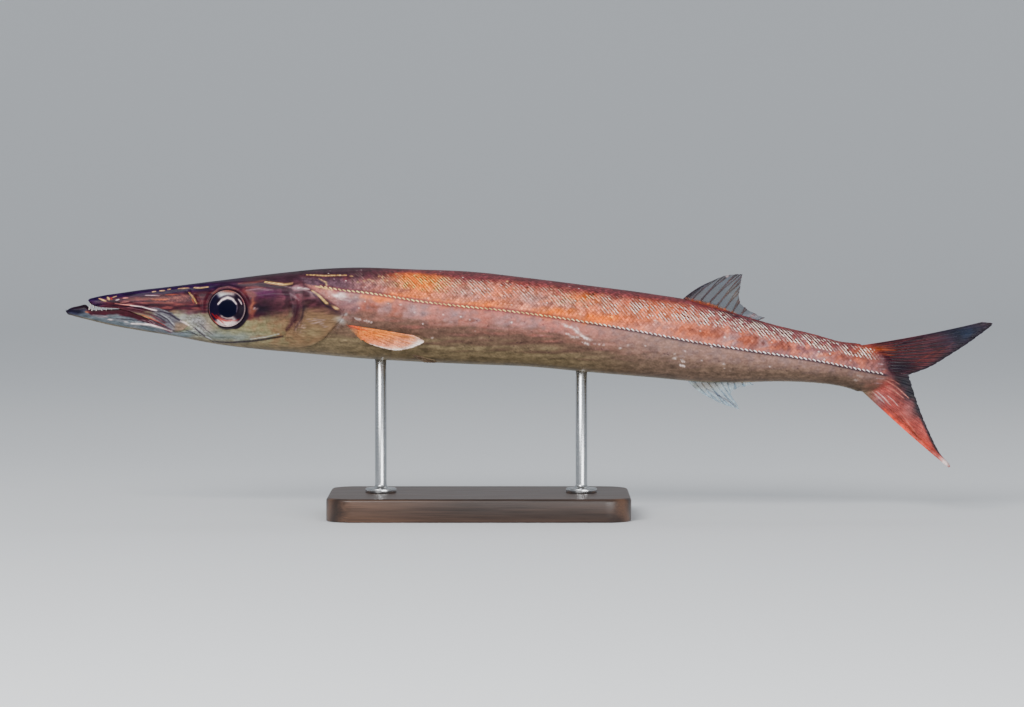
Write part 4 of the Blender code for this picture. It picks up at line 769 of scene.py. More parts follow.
def scale_material():
    """Thin pearly scales under a wet film; the lit ones carry a painted highlight, a bright streak that runs on from
    scale to scale, with painted shade between.
    """
    material, tree, shader = new_material("pearly_scales")
    link = tree.links.new
    _, _, noise, tone = varied_tone(tree, 700, 0.78, 1.22, 4.0, 1.8)
    # The gleam attribute holds each point's distance from its scale's painted highlight streak, the streak's strength
    # and its goldness; where a streak is strong, the unlit rest of the scale is darkened as painted shade.
    gleam = add(tree, "ShaderNodeAttribute", attribute_name="gleam")
    parts = add(tree, "ShaderNodeSeparateColor")
    centred = add(tree, "ShaderNodeMath", operation="SUBTRACT")
    centred.inputs[1].default_value = 0.5
    away = add(tree, "ShaderNodeMath", operation="ABSOLUTE")
    lit = add(
        tree, "ShaderNodeMapRange", interpolation_type="SMOOTHSTEP",
        From_Min=STREAK_FADE[0] / STREAK_RANGE, From_Max=STREAK_FADE[1] / STREAK_RANGE, To_Min=1.0, To_Max=0.0,
    )
    share = add(tree, "ShaderNodeMath", operation="MULTIPLY")
    unlit = add(tree, "ShaderNodeMath", operation="SUBTRACT")
    dark = add(tree, "ShaderNodeMath", operation="MULTIPLY_ADD")
    dark.inputs[1].default_value = -0.78
    dark.inputs[2].default_value = 1.0
    dimmed = add(tree, "ShaderNodeVectorMath", operation="SCALE")
    link(gleam.outputs["Color"], parts.inputs[0])
    link(parts.outputs[0], centred.inputs[0])
    link(centred.outputs[0], away.inputs[0])
    link(away.outputs[0], lit.inputs["Value"])
    link(lit.outputs["Result"], share.inputs[0])
    link(parts.outputs[1], share.inputs[1])
    link(parts.outputs[1], unlit.inputs[0])
    link(share.outputs[0], unlit.inputs[1])
    link(unlit.outputs[0], dark.inputs[0])
    link(tone, dimmed.inputs[0])
    link(dark.outputs[0], dimmed.inputs["Scale"])
    # The painted highlight's colour, from white-pink to gold.
    tint = mixed_colour(tree, parts.outputs[2], light(WHITE_PINK), light(BRIGHT_GOLD))
    link(mixed_colour(tree, share.outputs[0], dimmed.outputs[0], tint), shader.inputs["Base Color"])
    rough = add(tree, "ShaderNodeMapRange", From_Min=0.3, From_Max=0.7, To_Min=0.3, To_Max=0.45)
    link(noise.outputs["Fac"], rough.inputs["Value"])
    link(rough.outputs["Result"], shader.inputs["Roughness"])
    shader.inputs["Specular IOR Level"].default_value = 0.08
    shader.inputs["Coat Weight"].default_value = 0.03
    shader.inputs["Coat Roughness"].default_value = 0.12
    return material


def fin_material():
    """Wet fin: opaque rays and clear membrane, by the stored colour and its opacity."""
    material, tree, shader = new_material("wet_fin")
    link = tree.links.new
    attribute, _, noise, tone = varied_tone(tree, 700, 0.8, 1.2)
    link(tone, shader.inputs["Base Color"])
    link(attribute.outputs["Alpha"], shader.inputs["Alpha"])
    rough = add(tree, "ShaderNodeMapRange", From_Min=0.3, From_Max=0.7, To_Min=0.25, To_Max=0.4)
    link(noise.outputs["Fac"], rough.inputs["Value"])
    link(rough.outputs["Result"], shader.inputs["Roughness"])
    shader.inputs["Specular IOR Level"].default_value = 0.1
    shader.inputs["Coat Weight"].default_value = 0.05
    shader.inputs["Coat Roughness"].default_value = 0.15
    return material


def eye_material():
    """Painted iris and pupil under a clear wet cornea."""
    material, tree, shader = new_material("wet_eye")
    _, _, _, tone = varied_tone(tree, 1500, 0.85, 1.15)
    tree.links.new(tone, shader.inputs["Base Color"])
    shader.inputs["Roughness"].default_value = 0.5
    shader.inputs["Specular IOR Level"].default_value = 0.03
    shader.inputs["Coat Weight"].default_value = 0.03
    shader.inputs["Coat Roughness"].default_value = 0.03
    return material


def tooth_material():
    material, tree, shader = new_material("tooth_ivory")
    place = add(tree, "ShaderNodeTexCoord")
    noise = add(tree, "ShaderNodeTexNoise", Scale=1500, Detail=2.0)
    ramp = add(tree, "ShaderNodeValToRGB")
    ramp.color_ramp.elements[0].color = (0.4, 0.33, 0.28, 1)
    ramp.color_ramp.elements[1].color = (0.72, 0.67, 0.6, 1)
    tree.links.new(place.outputs["Object"], noise.inputs["Vector"])
    tree.links.new(noise.outputs["Fac"], ramp.inputs["Fac"])
    tree.links.new(ramp.outputs["Color"], shader.inputs["Base Color"])
    shader.inputs["Roughness"].default_value = 0.22
    shader.inputs["Coat Weight"].default_value = 0.4
    return material


def wood_material():
    """Oiled dark walnut, its grain along the base."""
    material, tree, shader = new_material("dark_walnut")
    link = tree.links.new
    place = add(tree, "ShaderNodeTexCoord")
    stretch = add(tree, "ShaderNodeMapping", Scale=(5, 70, 70))
    wave = add(tree, "ShaderNodeTexWave", bands_direction="Y", Scale=0.5, Distortion=7, Detail=3)
    fibre = add(tree, "ShaderNodeMapping", Scale=(40, 1400, 1400))
    pores = add(tree, "ShaderNodeTexNoise", Scale=1.0, Detail=4.0)
    ramp = add(tree, "ShaderNodeValToRGB")
    ramp.color_ramp.elements[0].color = (0.028, 0.014, 0.009, 1)
    ramp.color_ramp.elements[1].color = (0.105, 0.052, 0.03, 1)
    shade = add(tree, "ShaderNodeMapRange", From_Min=0.3, From_Max=0.7, To_Min=0.65, To_Max=1.25)
    mixed = add(tree, "ShaderNodeVectorMath", operation="SCALE")
    rough = add(tree, "ShaderNodeMapRange", From_Min=0.3, From_Max=0.7, To_Min=0.3, To_Max=0.45)
    bump = add(tree, "ShaderNodeBump", Strength=0.15, Distance=0.0002)
    link(place.outputs["Object"], stretch.inputs["Vector"])
    link(place.outputs["Object"], fibre.inputs["Vector"])
    link(stretch.outputs["Vector"], wave.inputs["Vector"])
    link(fibre.outputs["Vector"], pores.inputs["Vector"])
    link(wave.outputs["Fac"], ramp.inputs["Fac"])
    link(pores.outputs["Fac"], shade.inputs["Value"])
    link(ramp.outputs["Color"], mixed.inputs[0])
    link(shade.outputs["Result"], mixed.inputs["Scale"])
    link(mixed.outputs[0], shader.inputs["Base Color"])
    link(pores.outputs["Fac"], rough.inputs["Value"])
    link(rough.outputs["Result"], shader.inputs["Roughness"])
    link(pores.outputs["Fac"], bump.inputs["Height"])
    link(bump.outputs["Normal"], shader.inputs["Normal"])
    return material


def steel_material():
    """Brushed steel, brushed around the rods."""
    material, tree, shader = new_material("brushed_steel")
    link = tree.links.new
    place = add(tree, "ShaderNodeTexCoord")
    stretch = add(tree, "ShaderNodeMapping", Scale=(40, 40, 9000))
    noise = add(tree, "ShaderNodeTexNoise", Scale=1.0, Detail=3.0)
    rough = add(tree, "ShaderNodeMapRange", From_Min=0.3, From_Max=0.7, To_Min=0.22, To_Max=0.3)
    bump = add(tree, "ShaderNodeBump", Strength=0.02, Distance=0.0001)
    link(place.outputs["Object"], stretch.inputs["Vector"])
    link(stretch.outputs["Vector"], noise.inputs["Vector"])
    link(noise.outputs["Fac"], rough.inputs["Value"])
    link(rough.outputs["Result"], shader.inputs["Roughness"])
    link(noise.outputs["Fac"], bump.inputs["Height"])
    link(bump.outputs["Normal"], shader.inputs["Normal"])
    shader.inputs["Base Color"].default_value = (0.56, 0.57, 0.58, 1)
    shader.inputs["Metallic"].default_value = 1.0
    return material


# Skin.

# Ridges and grooves of the head in side view: (height over the skin, half width, path).
HEAD_FORMS = (
    (0.7, 1.2, [(28, 8.6), (49.2, 10.9), (74.6, 13.9), (90.1, 15.0), (103.6, 15.2), (118.1, 14.5)]),
    (-0.7, 0.8, [(119.7, 12.1), (120.2, 2.7), (118.1, -8.7), (112.0, -13.3), (101.5, -15.4), (90.1, -15.6)]),
    (0.4, 1.0, [(117.4, 11.0), (117.6, 2.7), (115.4, -7.4), (109.6, -11.6), (98, -13.8), (86, -14.4)]),
    (-0.5, 0.5, [(52, -0.2), (56, -1.6), (58.6, -3.6), (63, -5.6), (65, -6.8)]),
    (-0.5, 0.6, [(66, -8.0), (70, -10.2), (75.5, -14.2)]),
    (0.4, 0.7, [(24, 3.9), (35, 2.9), (45, 1.0), (50, -0.8)]),
    (-0.4, 0.6, [(22, 2.6), (34, 1.4), (45, -1.2), (52, -5.0)]),
    (0.35, 0.8, [(66.6, 9.8), (70, 5.0), (71.5, -1)]),
    (-0.35, 0.6, [(69.5, 0.2), (73, -4.4), (80, -9.4), (90, -11.6)]),
    (0.3, 1.0, [(98, 8), (108, 9.5), (118, 9)]),
    (-0.3, 0.6, [(100, -2), (108, -8), (109, -13)]),
)
JAW_FORMS = (
    (0.5, 0.9, [(34, -5.6), (45, -7.6), (52, -10.8)]),
    (-0.35, 0.7, [(14, -2.2), (30, -4.6), (44, -8.6), (54, -11.4)]),
)
NOSTRILS = ((64.6, 10.4, 0.7, 0.7), (67.4, 7.6, 0.6, 1.5))
NOSTRIL_PIT = 1.3


def forms(s, h, table):
    rise = np.zeros(np.shape(s))
    for height, half, path in table:
        gap, share = path_distance(s, h, np.array(path, float))
        fade = smooth_step(share / 0.15) * smooth_step((1 - share) / 0.15)
        rise += height * fade * np.exp(-((gap / half) ** 2))
    return rise


def head_relief(s, h):
    gap, _ = path_distance(s, h, np.vstack([MAXILLA, MAXILLA[:1]]))
    plate = 0.9 * smooth_step(0.5 + np.where(inside(s, h, MAXILLA), gap, -gap) / 0.7)
    ring = np.abs(np.hypot(s - EYE_STATION, h - EYE_HEIGHT) - EYE_RADIUS - 1.2)
    rise = plate + 0.6 * np.exp(-((ring / 1.0) ** 2)) + forms(s, h, HEAD_FORMS)
    for s0, h0, across, length in NOSTRILS:
        rise -= NOSTRIL_PIT * np.exp(-(((s - s0) / across) ** 2 + ((h - h0) / length) ** 2) ** 2)
    return rise


def jaw_relief(s, h):
    return forms(s, h, JAW_FORMS)


def spaced_ring(section, last_angle, count, s, relief):
    """One cross-section with evenly spaced points: top, right side, bottom, left side."""
    middle, top, bottom, width, over, under = section
    angle = np.linspace(0, last_angle, 400)
    cosine, sine = np.cos(angle), np.abs(np.sin(angle))
    power = np.where(cosine >= 0, over, under)
    reach = np.where(cosine >= 0, top - middle, middle - bottom)
    h = middle + reach * np.sign(cosine) * np.abs(cosine) ** (2 / power)
    y = width * sine ** (2 / power)
    length = np.concatenate([[0], np.cumsum(np.hypot(np.diff(y), np.diff(h)))])
    even = np.linspace(0, length[-1], count)
    y, h = np.interp(even, length, y), np.interp(even, length, h)
    if relief is not None:
        tangent_y, tangent_h = np.gradient(y), np.gradient(h)
        size = np.hypot(tangent_y, tangent_h)
        rise = relief(np.full(count, s), h)
        settle = np.clip((length[-1] - even) / 1.5, 0, 1) if last_angle < math.pi else 1
        y = y - rise * tangent_h / size * (y > 1e-6)
        h = h + settle * rise * tangent_y / size
    right = np.column_stack([np.full(count, s), y, h])
    return np.vstack([right, (right * (1, -1, 1))[::-1][1:-1] if last_angle >= math.pi else
                      (right * (1, -1, 1))[::-1][:-1]])


def body_section(s):
    return (widest_line(s), back_line(s), belly_line(s), half_width(s), square_over(s), square_under(s))


def upper_rings():
    """Rings of head and trunk down to the palate, and the whole section behind the mouth."""
    half = 100
    stations = np.concatenate([
        [11.6, 11.9, 12.4, 13.0, 13.8, 14.6], np.arange(15.4, NECK + 12, 0.46), np.arange(147, 400, 2.8),
        np.arange(401, SKIN_END - 6, 1.7), [423, 425, 427, SKIN_END],
    ])
    rings = []
    for s in stations:
        middle, top, bottom, width, over, under = body_section(s)
        last = math.pi
        if s < PALATE[-1, 0]:
            floor = max(palate_line(s), bottom)
            middle = max(middle, floor)
            last = math.acos(-(((middle - floor) / (middle - bottom)) ** (under / 2)))
        last = min(last, math.pi - 0.02)
        relief = head_relief if s < NECK else None
        rings.append(spaced_ring((middle, top, bottom, width, over, under), last, half, s, relief))
    return np.array(rings)


def jaw_rings():
    """Rings of the lower jaw; behind the gape its top is sunk in the head."""
    half = 50
    stations = np.concatenate([
        [0, 0.15, 0.4, 0.8, 1.3, 2, 2.8, 3.8, 5, 6.2, 7.3, 8.3, 9.2, 10, 10.7, 11.4, 12.1, 12.7, 13.5, 14.5],
        np.arange(15.4, 80.0, 0.7), [80.0],
    ])
    rings = []
    for s in stations:
        sunk = palate_line(max(s, 27.0)) + 0.35
        top = jaw_line(s) + (sunk - jaw_line(s)) * smooth_step((s - 27) / 3)
        bottom = belly_line(s) + 0.02 + 0.9 * smooth_step((s - 77.2) / 2)
        top = max(top, bottom + 1.2)
        middle = max(top - jaw_lip(s), bottom + 0.1 * (top - bottom))
        section = (middle, top, bottom, jaw_half_width(s) * (1 - 0.6 * smooth_step((s - 76) / 3)), 2.4, 2.0)
        rings.append(spaced_ring(section, math.pi - 0.02, half, s, jaw_relief))
    return np.array(rings)


def plain_object(name, points, faces):
    mesh = bpy.data.meshes.new(name)
    mesh.from_pydata(to_frame(points).tolist(), [], faces)
    obj = bpy.data.objects.new(name, mesh)
    bpy.context.scene.collection.objects.link(obj)
    work = bmesh.new()
    work.from_mesh(mesh)
    bmesh.ops.recalc_face_normals(work, faces=work.faces)
    work.to_mesh(mesh)
    work.free()
    return obj


def eye_frame(side):
    """Centre of an eye in fish coordinates, and its axes: (forward, up, outward) as rows."""
    s, h = np.array(EYE_STATION), np.array(EYE_HEIGHT)
    out = outward(s, h)
    centre = np.array([EYE_STATION, float(flank(s, h)), EYE_HEIGHT]) - EYE_SINK * out
    up = np.array([0, 0, 1]) - out[2] * out
    up /= np.linalg.norm(up)
    along_body = np.cross(up, out)
    axes = np.array([along_body, up, out])
    return centre * (1, side, 1), axes * (1, side, 1)


def socket_object(side):
    """The hollow that an eyeball sits in."""
    radius, depth = EYE_RADIUS + 0.12, EYE_DEPTH + 0.5
    angles = np.linspace(math.pi / 2, math.pi, 16)
    rows = [(0, 6), (radius, 6)] + [(radius * math.sin(a), depth * math.cos(a)) for a in angles]
    points, faces = lathe(rows, 120)
    centre, axes = eye_frame(side)
    return plain_object("socket", points @ axes + centre, faces)


def boolean(obj, other, operation):
    modifier = obj.modifiers.new(operation, "BOOLEAN")
    modifier.operation, modifier.object = operation, other
    graph = bpy.context.evaluated_depsgraph_get()
    mesh = bpy.data.meshes.new_from_object(obj.evaluated_get(graph))
    obj.modifiers.clear()
    obj.data = mesh
    bpy.data.objects.remove(other)


def gill_flap(side):
    """The free hind edge of a gill cover: a thin plate that rises from the cheek to its edge."""
    share, across = np.linspace(0, 1, 90), np.linspace(0, 1, 14)
    fore, hind = along(GILL_FORE, share), along(GILL_HIND, share)
    grid = fore[:, None] * (1 - across[None, :, None]) + hind[:, None] * across[None, :, None]
    lift = -0.15 + 0.95 * smooth_step(across[None, :] * 1.4) * smooth_step(share[:, None] / 0.12)
    lift = lift * smooth_step((1.02 - share[:, None]) / 0.15)
    s, h = grid[..., 0], grid[..., 1]
    base, normal = np.stack([s, flank(s, h), h], -1), outward(s, h)
    thick = 0.5 - 0.22 * across[None, :, None] ** 4
    outer, inner = base + normal * lift[..., None], base + normal * (lift[..., None] - thick)
    points = np.vstack([outer.reshape(-1, 3), inner.reshape(-1, 3)]) * (1, side, 1)
    return points, sheet_faces(len(share), len(across))


def build_skin(material):
    """One skin for head, jaw, gill covers, trunk and tail stalk."""
    skin = plain_object("skin", *closed_loft(upper_rings()))
    boolean(skin, plain_object("jaw", *closed_loft(jaw_rings())), "UNION")
    for side in SIDES.values():
        boolean(skin, socket_object(side), "DIFFERENCE")
    points, faces = [fish_points(skin.data)], [list(p.vertices) for p in skin.data.polygons]
    for side in SIDES.values():
        flap_points, flap_faces = gill_flap(side)
        start = sum(map(len, points))
        points.append(flap_points)
        faces += [[i + start for i in (face if side > 0 else face[::-1])] for face in flap_faces]
    bpy.data.objects.remove(skin)
    points = np.vstack(points)
    skin = mesh_piece("skin", points, faces, material, paint(points[:, 0], points[:, 2]))
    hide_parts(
        "head", "lower_jaw", "gill_cover_left", "gill_cover_right",
        "trunk_front", "trunk_middle", "trunk_rear", "tail_stalk",
    )
    return skin


# Scales.

# Distance between scales along a row, by station, and between rows, as a share of it.
scale_pitch = curve(np.array([(117, 1.45), (150, 1.55), (200, 1.8), (280, 1.95), (430, 1.95)]))
ROW_SHARE = 0.6
ROWS_OVER, ROWS_UNDER = 34, 60
PIECE_TRIANGLES = 180000
BEAD_PITCH, BEAD_START, BEAD_END, BEAD_SLANT = 2.35, 133.0, 424.0, math.radians(24)
# The slant of the bright dash on a scale, a painted highlight, and how far back of its middle it runs, in millimetres;
# then the range that a stored distance from it covers, and the distances at which it begins to fade and has faded, in
# scale lengths.
STREAK_SLANT, STREAK_BACK, STREAK_RANGE, STREAK_FADE = math.radians(40), 0.35, 5.0, (0.04, 0.25)


def tail_end(h):
    """The station at which the scales end on the tail, bowed backwards at the lateral line."""
    return 426 - 9 * np.clip((h + 30.5) / 12, -1, 1) ** 2


def section_path(s):
    """The right flank's outline at a station from the back to the belly: y, height and length so far."""
    middle, top, bottom, width, over, under = body_section(s)
    angle = np.linspace(0, math.pi, 500)
    cosine, sine = np.cos(angle), np.abs(np.sin(angle))
    power = np.where(cosine >= 0, over, under)
    reach = np.where(cosine >= 0, top - middle, middle - bottom)
    h = middle + reach * np.sign(cosine) * np.abs(cosine) ** (2 / power)
    y = width * sine ** (2 / power)
    return y, h, np.concatenate([[0], np.cumsum(np.hypot(np.diff(y), np.diff(h)))])


def square_frame(back, up):
    """Unit directions backwards, up and outward on the right flank, from two directions along it."""
    back = back / np.linalg.norm(back, axis=-1, keepdims=True)
    normal = np.cross(up, back)
    normal /= np.linalg.norm(normal, axis=-1, keepdims=True)
    return back, np.cross(back, normal), normal


def scale_places():
    """Places of the scales on the right flank, in rows beside the lateral line: points, frames, row spacing
    and shares of the way along and up.
    """
    stations = [SCALES_START]
    while stations[-1] < SCALES_END:
        stations.append(stations[-1] + scale_pitch(stations[-1]) / 2)
    stations = np.array(stations)
    rows = np.arange(-ROWS_UNDER, ROWS_OVER + 1)
    points, clear = np.empty((len(stations), len(rows), 3)), np.empty((len(stations), len(rows)))
    for i, s in enumerate(stations):
        y, h, length = section_path(s)
        mark = np.interp(-lateral_line(s), -h, length) - rows * ROW_SHARE * scale_pitch(s)
        points[i] = np.column_stack([np.full(len(rows), s), np.interp(mark, length, y), np.interp(mark, length, h)])
        clear[i] = np.minimum(mark, length[-1] - mark)
    back, up = np.gradient(points, axis=0), np.gradient(points, axis=1)
    i, r = np.meshgrid(np.arange(len(stations)), np.arange(len(rows)), indexing="ij")
    s, h = points[..., 0], points[..., 2]
    chosen = (i % 2 == rows[r] % 2) & (clear > 0.5) & (s > head_end(h) + 0.4) & (s < tail_end(h))
    share = np.stack([i / len(stations), r / len(rows)], axis=-1)[chosen]
    return points[chosen], square_frame(back[chosen], up[chosen]), ROW_SHARE * scale_pitch(s[chosen]), share


def bead_places():
    """Places of the lateral line's own scales, each turned a little across the line like a rope's strands."""
    s = np.arange(BEAD_START, BEAD_END, BEAD_PITCH)
    h = lateral_line(s)
    points = np.stack([s, flank(s, h), h], axis=-1)
    back, up, normal = square_frame(np.gradient(points, axis=0), np.tile((0.0, 0.0, 1.0), (len(s), 1)))
    turned = math.cos(BEAD_SLANT) * back - math.sin(BEAD_SLANT) * up
    across = math.sin(BEAD_SLANT) * back + math.cos(BEAD_SLANT) * up
    along_fish = (s - SCALES_START) / (SCALES_END - SCALES_START)
    share = np.column_stack([along_fish, np.full(len(s), ROWS_UNDER / (ROWS_UNDER + ROWS_OVER + 1))])
    return points, (turned, across, normal), share


def scale_template():
    """A closed scale of unit size: its outline, an inner ring, its middle and its underside."""
    count = 14
    turn = np.linspace(0, 2 * np.pi, count, endpoint=False)
    x, y = np.cos(turn), np.sin(turn)
    outline = np.column_stack([np.where(x > 0, 0.8 * x, 0.72 * x), 0.98 * y, np.zeros(count)])
    inner = np.column_stack([0.5 * x[::2] + 0.06, 0.6 * y[::2], np.full(count // 2, 0.9)])
    points = np.vstack([outline, inner, [(0.02, 0, 1.25)], [(0.0, 0, -1.0)]])
    half = count // 2
    faces = []
    for i in range(half):
        a, b, c = 2 * i, 2 * i + 1, (2 * i + 2) % count
        p, q = count + i, count + (i + 1) % half
        faces += [(a, b, p), (b, c, q), (b, q, p), (p, q, count + half)]
    for i in range(count):
        faces.append(((i + 1) % count, i, count + half + 1))
    return points, np.array(faces)


TEMPLATE, TEMPLATE_FACES = scale_template()


def scale_corners(points, directions, length, width, proud, tilt, thickness):
    """Corner points of closed scales, and how far each corner is back of and over its scale's middle."""
    length, width, proud, tilt = (
        np.broadcast_to(size, len(points))[:, None] for size in (length, width, proud, tilt)
    )
    x, y = TEMPLATE[:, 0] * length, TEMPLATE[:, 1] * width
    offsets = x, y, proud + x * tilt + TEMPLATE[:, 2] * thickness
    corners = points[:, None] + sum(way[:, None] * size[..., None] for way, size in zip(directions, offsets))
    return corners, x, y


def scale_pieces(kind, corners, tones, gleam, share, material):
    """Makes closed scales on both flanks, in pieces of limited size, each with its bake map."""
    count, size = corners.shape[:2]
    per_piece = PIECE_TRIANGLES // len(TEMPLATE_FACES)
    for word, side in SIDES.items():
        for number, start in enumerate(range(0, count, per_piece)):
            part = slice(start, start + per_piece)
            starts = np.arange(len(corners[part]))[:, None, None] * size
            faces = (TEMPLATE_FACES + starts).reshape(-1, 3)[:, ::-side]
            points = corners[part].reshape(-1, 3) * (1, side, 1)
            obj = mesh_piece(
                f"{kind}_{word}_{number}", points, faces.tolist(), material, tones[part].reshape(-1, 3)
            )
            store(obj.data, "gleam", gleam[part].reshape(-1, 3))
            obj.data.set_sharp_from_angle(angle=math.radians(70))
            root = np.column_stack([share[part, 0], 0.5 + side * share[part, 1] / 2])[:, None] * 0.99 + 0.005
            flat = (root + TEMPLATE[:, :2] * 0.0015).reshape(-1, 2)
            layer = obj.data.uv_layers.new(name="OFBake")
            layer.data.foreach_set("uv", flat[faces.ravel()].astype(np.float32).ravel())


def build_scales(material):
    """Every scale of both flanks as a closed lens, and the lateral line's as beads."""
    points, directions, spacing, share = scale_places()
    s, h = points[:, 0], points[:, 2]
    pitch = scale_pitch(s)
    line, back = lateral_line(s), back_line(s)
    over_line = smooth_step((h - line) / 2)
    young = 0.4 + 0.6 * smooth_step((s - head_end(h) - 0.5) / 9)
    young = young * (0.5 + 0.5 * smooth_step((tail_end(h) - s) / 10))
    length = pitch * young * np.clip(rng.normal(1, 0.06, len(s)), 0.8, 1.2)
    corners, x, y = scale_corners(
        points, directions, length, spacing * 1.12 * young, 0.13 * young - 0.03, 0.03 + 0.05 * over_line, 0.035
    )
    # Each scale is painted a little lighter towards its rear edge, as lit, more so over the lateral line, and gets a
    # random tone of its own.
    light_in = rng.normal(1, 0.02 + 0.05 * over_line)[:, None] * (0.98 + (0.02 + 0.05 * over_line[:, None]) * x)
    tones = paint(corners[..., 0], corners[..., 2]) * light_in[..., None]

    # Painted highlights: in a band over the lateral line, scales carry a bright streak of random strength, in clumps,
    # gold in places; the streaks line up from scale to scale.
    height = (h - line) / (back - line)
    lowest = 0.3 + 0.16 * smooth_step((s - 290) / 60)
    highest = 0.86 + 0.12 * smooth_step((s - 290) / 60)
    band = smooth_step((height - lowest) / 0.14) * smooth_step((highest - height) / 0.12)
    band = band * smooth_step((s - 140) / 40) * smooth_step((424 - s) / 16)
    patch = np.exp(-(((s - 185) / 13) ** 2) - (((height - 0.62) / 0.3) ** 2))
    fullness = 0.24 + 0.16 * smooth_step((s - 240) / 50) + 0.4 * smooth_step((s - 295) / 50) + 0.4 * patch
    clumps = np.clip(0.85 + 0.7 * mottle(0.8 * s, 0.8 * h), 0.2, 1.3)
    strength = np.clip(band * fullness * clumps * rng.uniform(0, 1.9, len(s)), 0, 1)[:, None]
    # Where the scales are netted, each is painted lighter in its middle as a highlight and darker at its edge as
    # painted shade between the scales, and lighter or darker at random.
    edge = smooth_step((np.hypot(TEMPLATE[:, 0], TEMPLATE[:, 1]) - 0.5) / 0.35)
    netted = smooth_step((height - 0.02) / 0.2) * smooth_step((s - 134) / 26) * (0.35 - 0.2 * smooth_step((s - 280) / 40))
    tones = tones * (1 + 0.2 * netted[:, None] - netted[:, None] * edge)[..., None]
    tones = tones * (1 + netted * np.clip(rng.normal(0, 0.3, len(s)), -0.6, 0.6))[:, None, None]

    # A few scales get a painted glint in their middles, from a little below the lateral line upwards; a few get a dark
    # middle.
    chance = rng.uniform(0, 1, len(s))
    pale = (chance > 0.988) * 0.5 + (chance > 0.996) * 0.4
    middle = 1 - smooth_step(np.hypot(TEMPLATE[:, 0], TEMPLATE[:, 1]) / 0.4)
    tones = blend(tones, WHITE_PINK, pale[:, None] * middle * smooth_step((h[:, None] - line[:, None] + 14) / 4))
    tones = blend(tones, DARK_MARK_AND_SHADE, ((chance < 0.012) * 0.5)[:, None] * middle)

    gold = np.exp(-(((s - 184) / 17) ** 2)) + 0.5 * np.exp(-(((s - 262) / 14) ** 2)) + 0.3 * rng.uniform(0, 1, len(s))
    away = (math.sin(STREAK_SLANT) * (x - STREAK_BACK) + math.cos(STREAK_SLANT) * y) / pitch[:, None]
    away = away + rng.normal(0, 0.05, len(s))[:, None]
    gleam = np.stack(np.broadcast_arrays(0.5 + away / STREAK_RANGE, strength, np.clip(gold, 0, 1)[:, None]), axis=-1)
    scale_pieces("scales", corners, tones, gleam, share, material)

    # The lateral line's beads: a painted highlight, white to gold, on the upper side, and painted shade on the lower
    # side and the front end.
    points, directions, share = bead_places()
    corners, x, y = scale_corners(points, directions, 1.5, 0.36, 0.22, 0.0, 0.18)
    s = points[:, :1]
    golden = smooth_step((300 - s) / 60)
    bright = blend(WHITE_PINK, BRIGHT_GOLD, 0.85 * golden)
    dark = blend(DARK_MARK_AND_SHADE, BACK_RED, 0.7 * golden)
    shade = smooth_step((-0.1 - y) / 0.16) + smooth_step((-0.6 - x) / 0.3)
    tones = blend(bright, dark, np.clip(shade, 0, 0.95))
    tones = tones * rng.uniform(0.8, 1.14, (len(points), 1, 1))
    scale_pieces("line_scales", corners, tones, np.zeros_like(tones), share, material)


# Eyes and teeth.


def build_eyes(material):
    for word, side in SIDES.items():
        front = np.linspace(0, math.pi / 2, 44)
        rear = np.linspace(math.pi / 2, math.pi, 12)[1:]
        rows = [(EYE_RADIUS * math.sin(a), EYE_BULGE * math.cos(a)) for a in front]
        rows += [(EYE_RADIUS * math.sin(a), EYE_DEPTH * math.cos(a)) for a in rear]
        points, faces = lathe(rows, 112)
        centre, axes = eye_frame(side)
        points = points @ axes + centre
        tones = eye_paint(points[:, 0] - EYE_STATION, points[:, 2] - EYE_HEIGHT)
        eye = mesh_piece(f"eyeball_{word}", points, faces, material, tones)
        fix_normals(eye.data)
        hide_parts(f"eye_{word}")


TOOTH_RADIUS, TOOTH_SINK, TOOTH_ROW = 0.34, 0.6, 0.78
# Teeth: (station, length) along each jaw.
UPPER_TEETH = (
    (12.9, 1.8), (14.5, 2.0), (16.4, 0.9), (18.0, 1.1), (20.1, 0.7), (22.4, 0.9), (24.6, 0.6), (26.4, 0.4),
)
LOWER_TEETH = ((12.3, 1.5), (13.7, 1.0), (16.0, 0.8), (18.8, 0.5), (21.2, 0.7), (24.0, 0.5))



def build_teeth(material):
    """Slender cones along both jaws, leaning back a little towards their points."""
    turn = np.linspace(0, 2 * np.pi, 10, endpoint=False)
    rise = np.linspace(0, 1, 6)[:-1]
    points, faces = [], []
    for table, line, width, up in (
        (UPPER_TEETH, palate_line, half_width, -1), (LOWER_TEETH, jaw_line, jaw_half_width, 1),
    ):
        for s, length in table:
            for side in SIDES.values():
                reach = length + TOOTH_SINK
                radius = TOOTH_RADIUS * (1 - rise) ** 0.8
                ring_s = s + 0.25 * length * rise[:, None] ** 2 + radius[:, None] * np.cos(turn)
                ring_y = side * TOOTH_ROW * width(s) + radius[:, None] * np.sin(turn)
                ring_h = line(s) + up * (rise * reach - TOOTH_SINK)[:, None] + 0 * turn
                start = sum(map(len, points))
                rings = np.stack([ring_s, ring_y, ring_h], -1).reshape(-1, 3)
                tip = (s + 0.25 * length, side * TOOTH_ROW * width(s), line(s) + up * length)
                points.append(np.vstack([rings, [tip]]))
                sides = grid_faces(len(rise), len(turn), start=start, wrap=True, flip=up < 0).tolist()
                last = start + (len(rise) - 1) * len(turn)
                cap = [[last + i, last + (i + 1) % len(turn), start + len(rings)] for i in range(len(turn))]
                foot = [start + i for i in reversed(range(len(turn)))]
                faces += sides + [c[::-1] if up < 0 else c for c in cap] + [foot[::-1] if up < 0 else foot]
    mesh_piece("teeth", np.vstack(points), faces, material)


# Fins.

FIN_NOTCH, MEMBRANE_HALF, RAY_JOINT = 0.35, 0.11, 1.3
COLUMNS_PER_RAY, FIN_ROWS = 14, 64


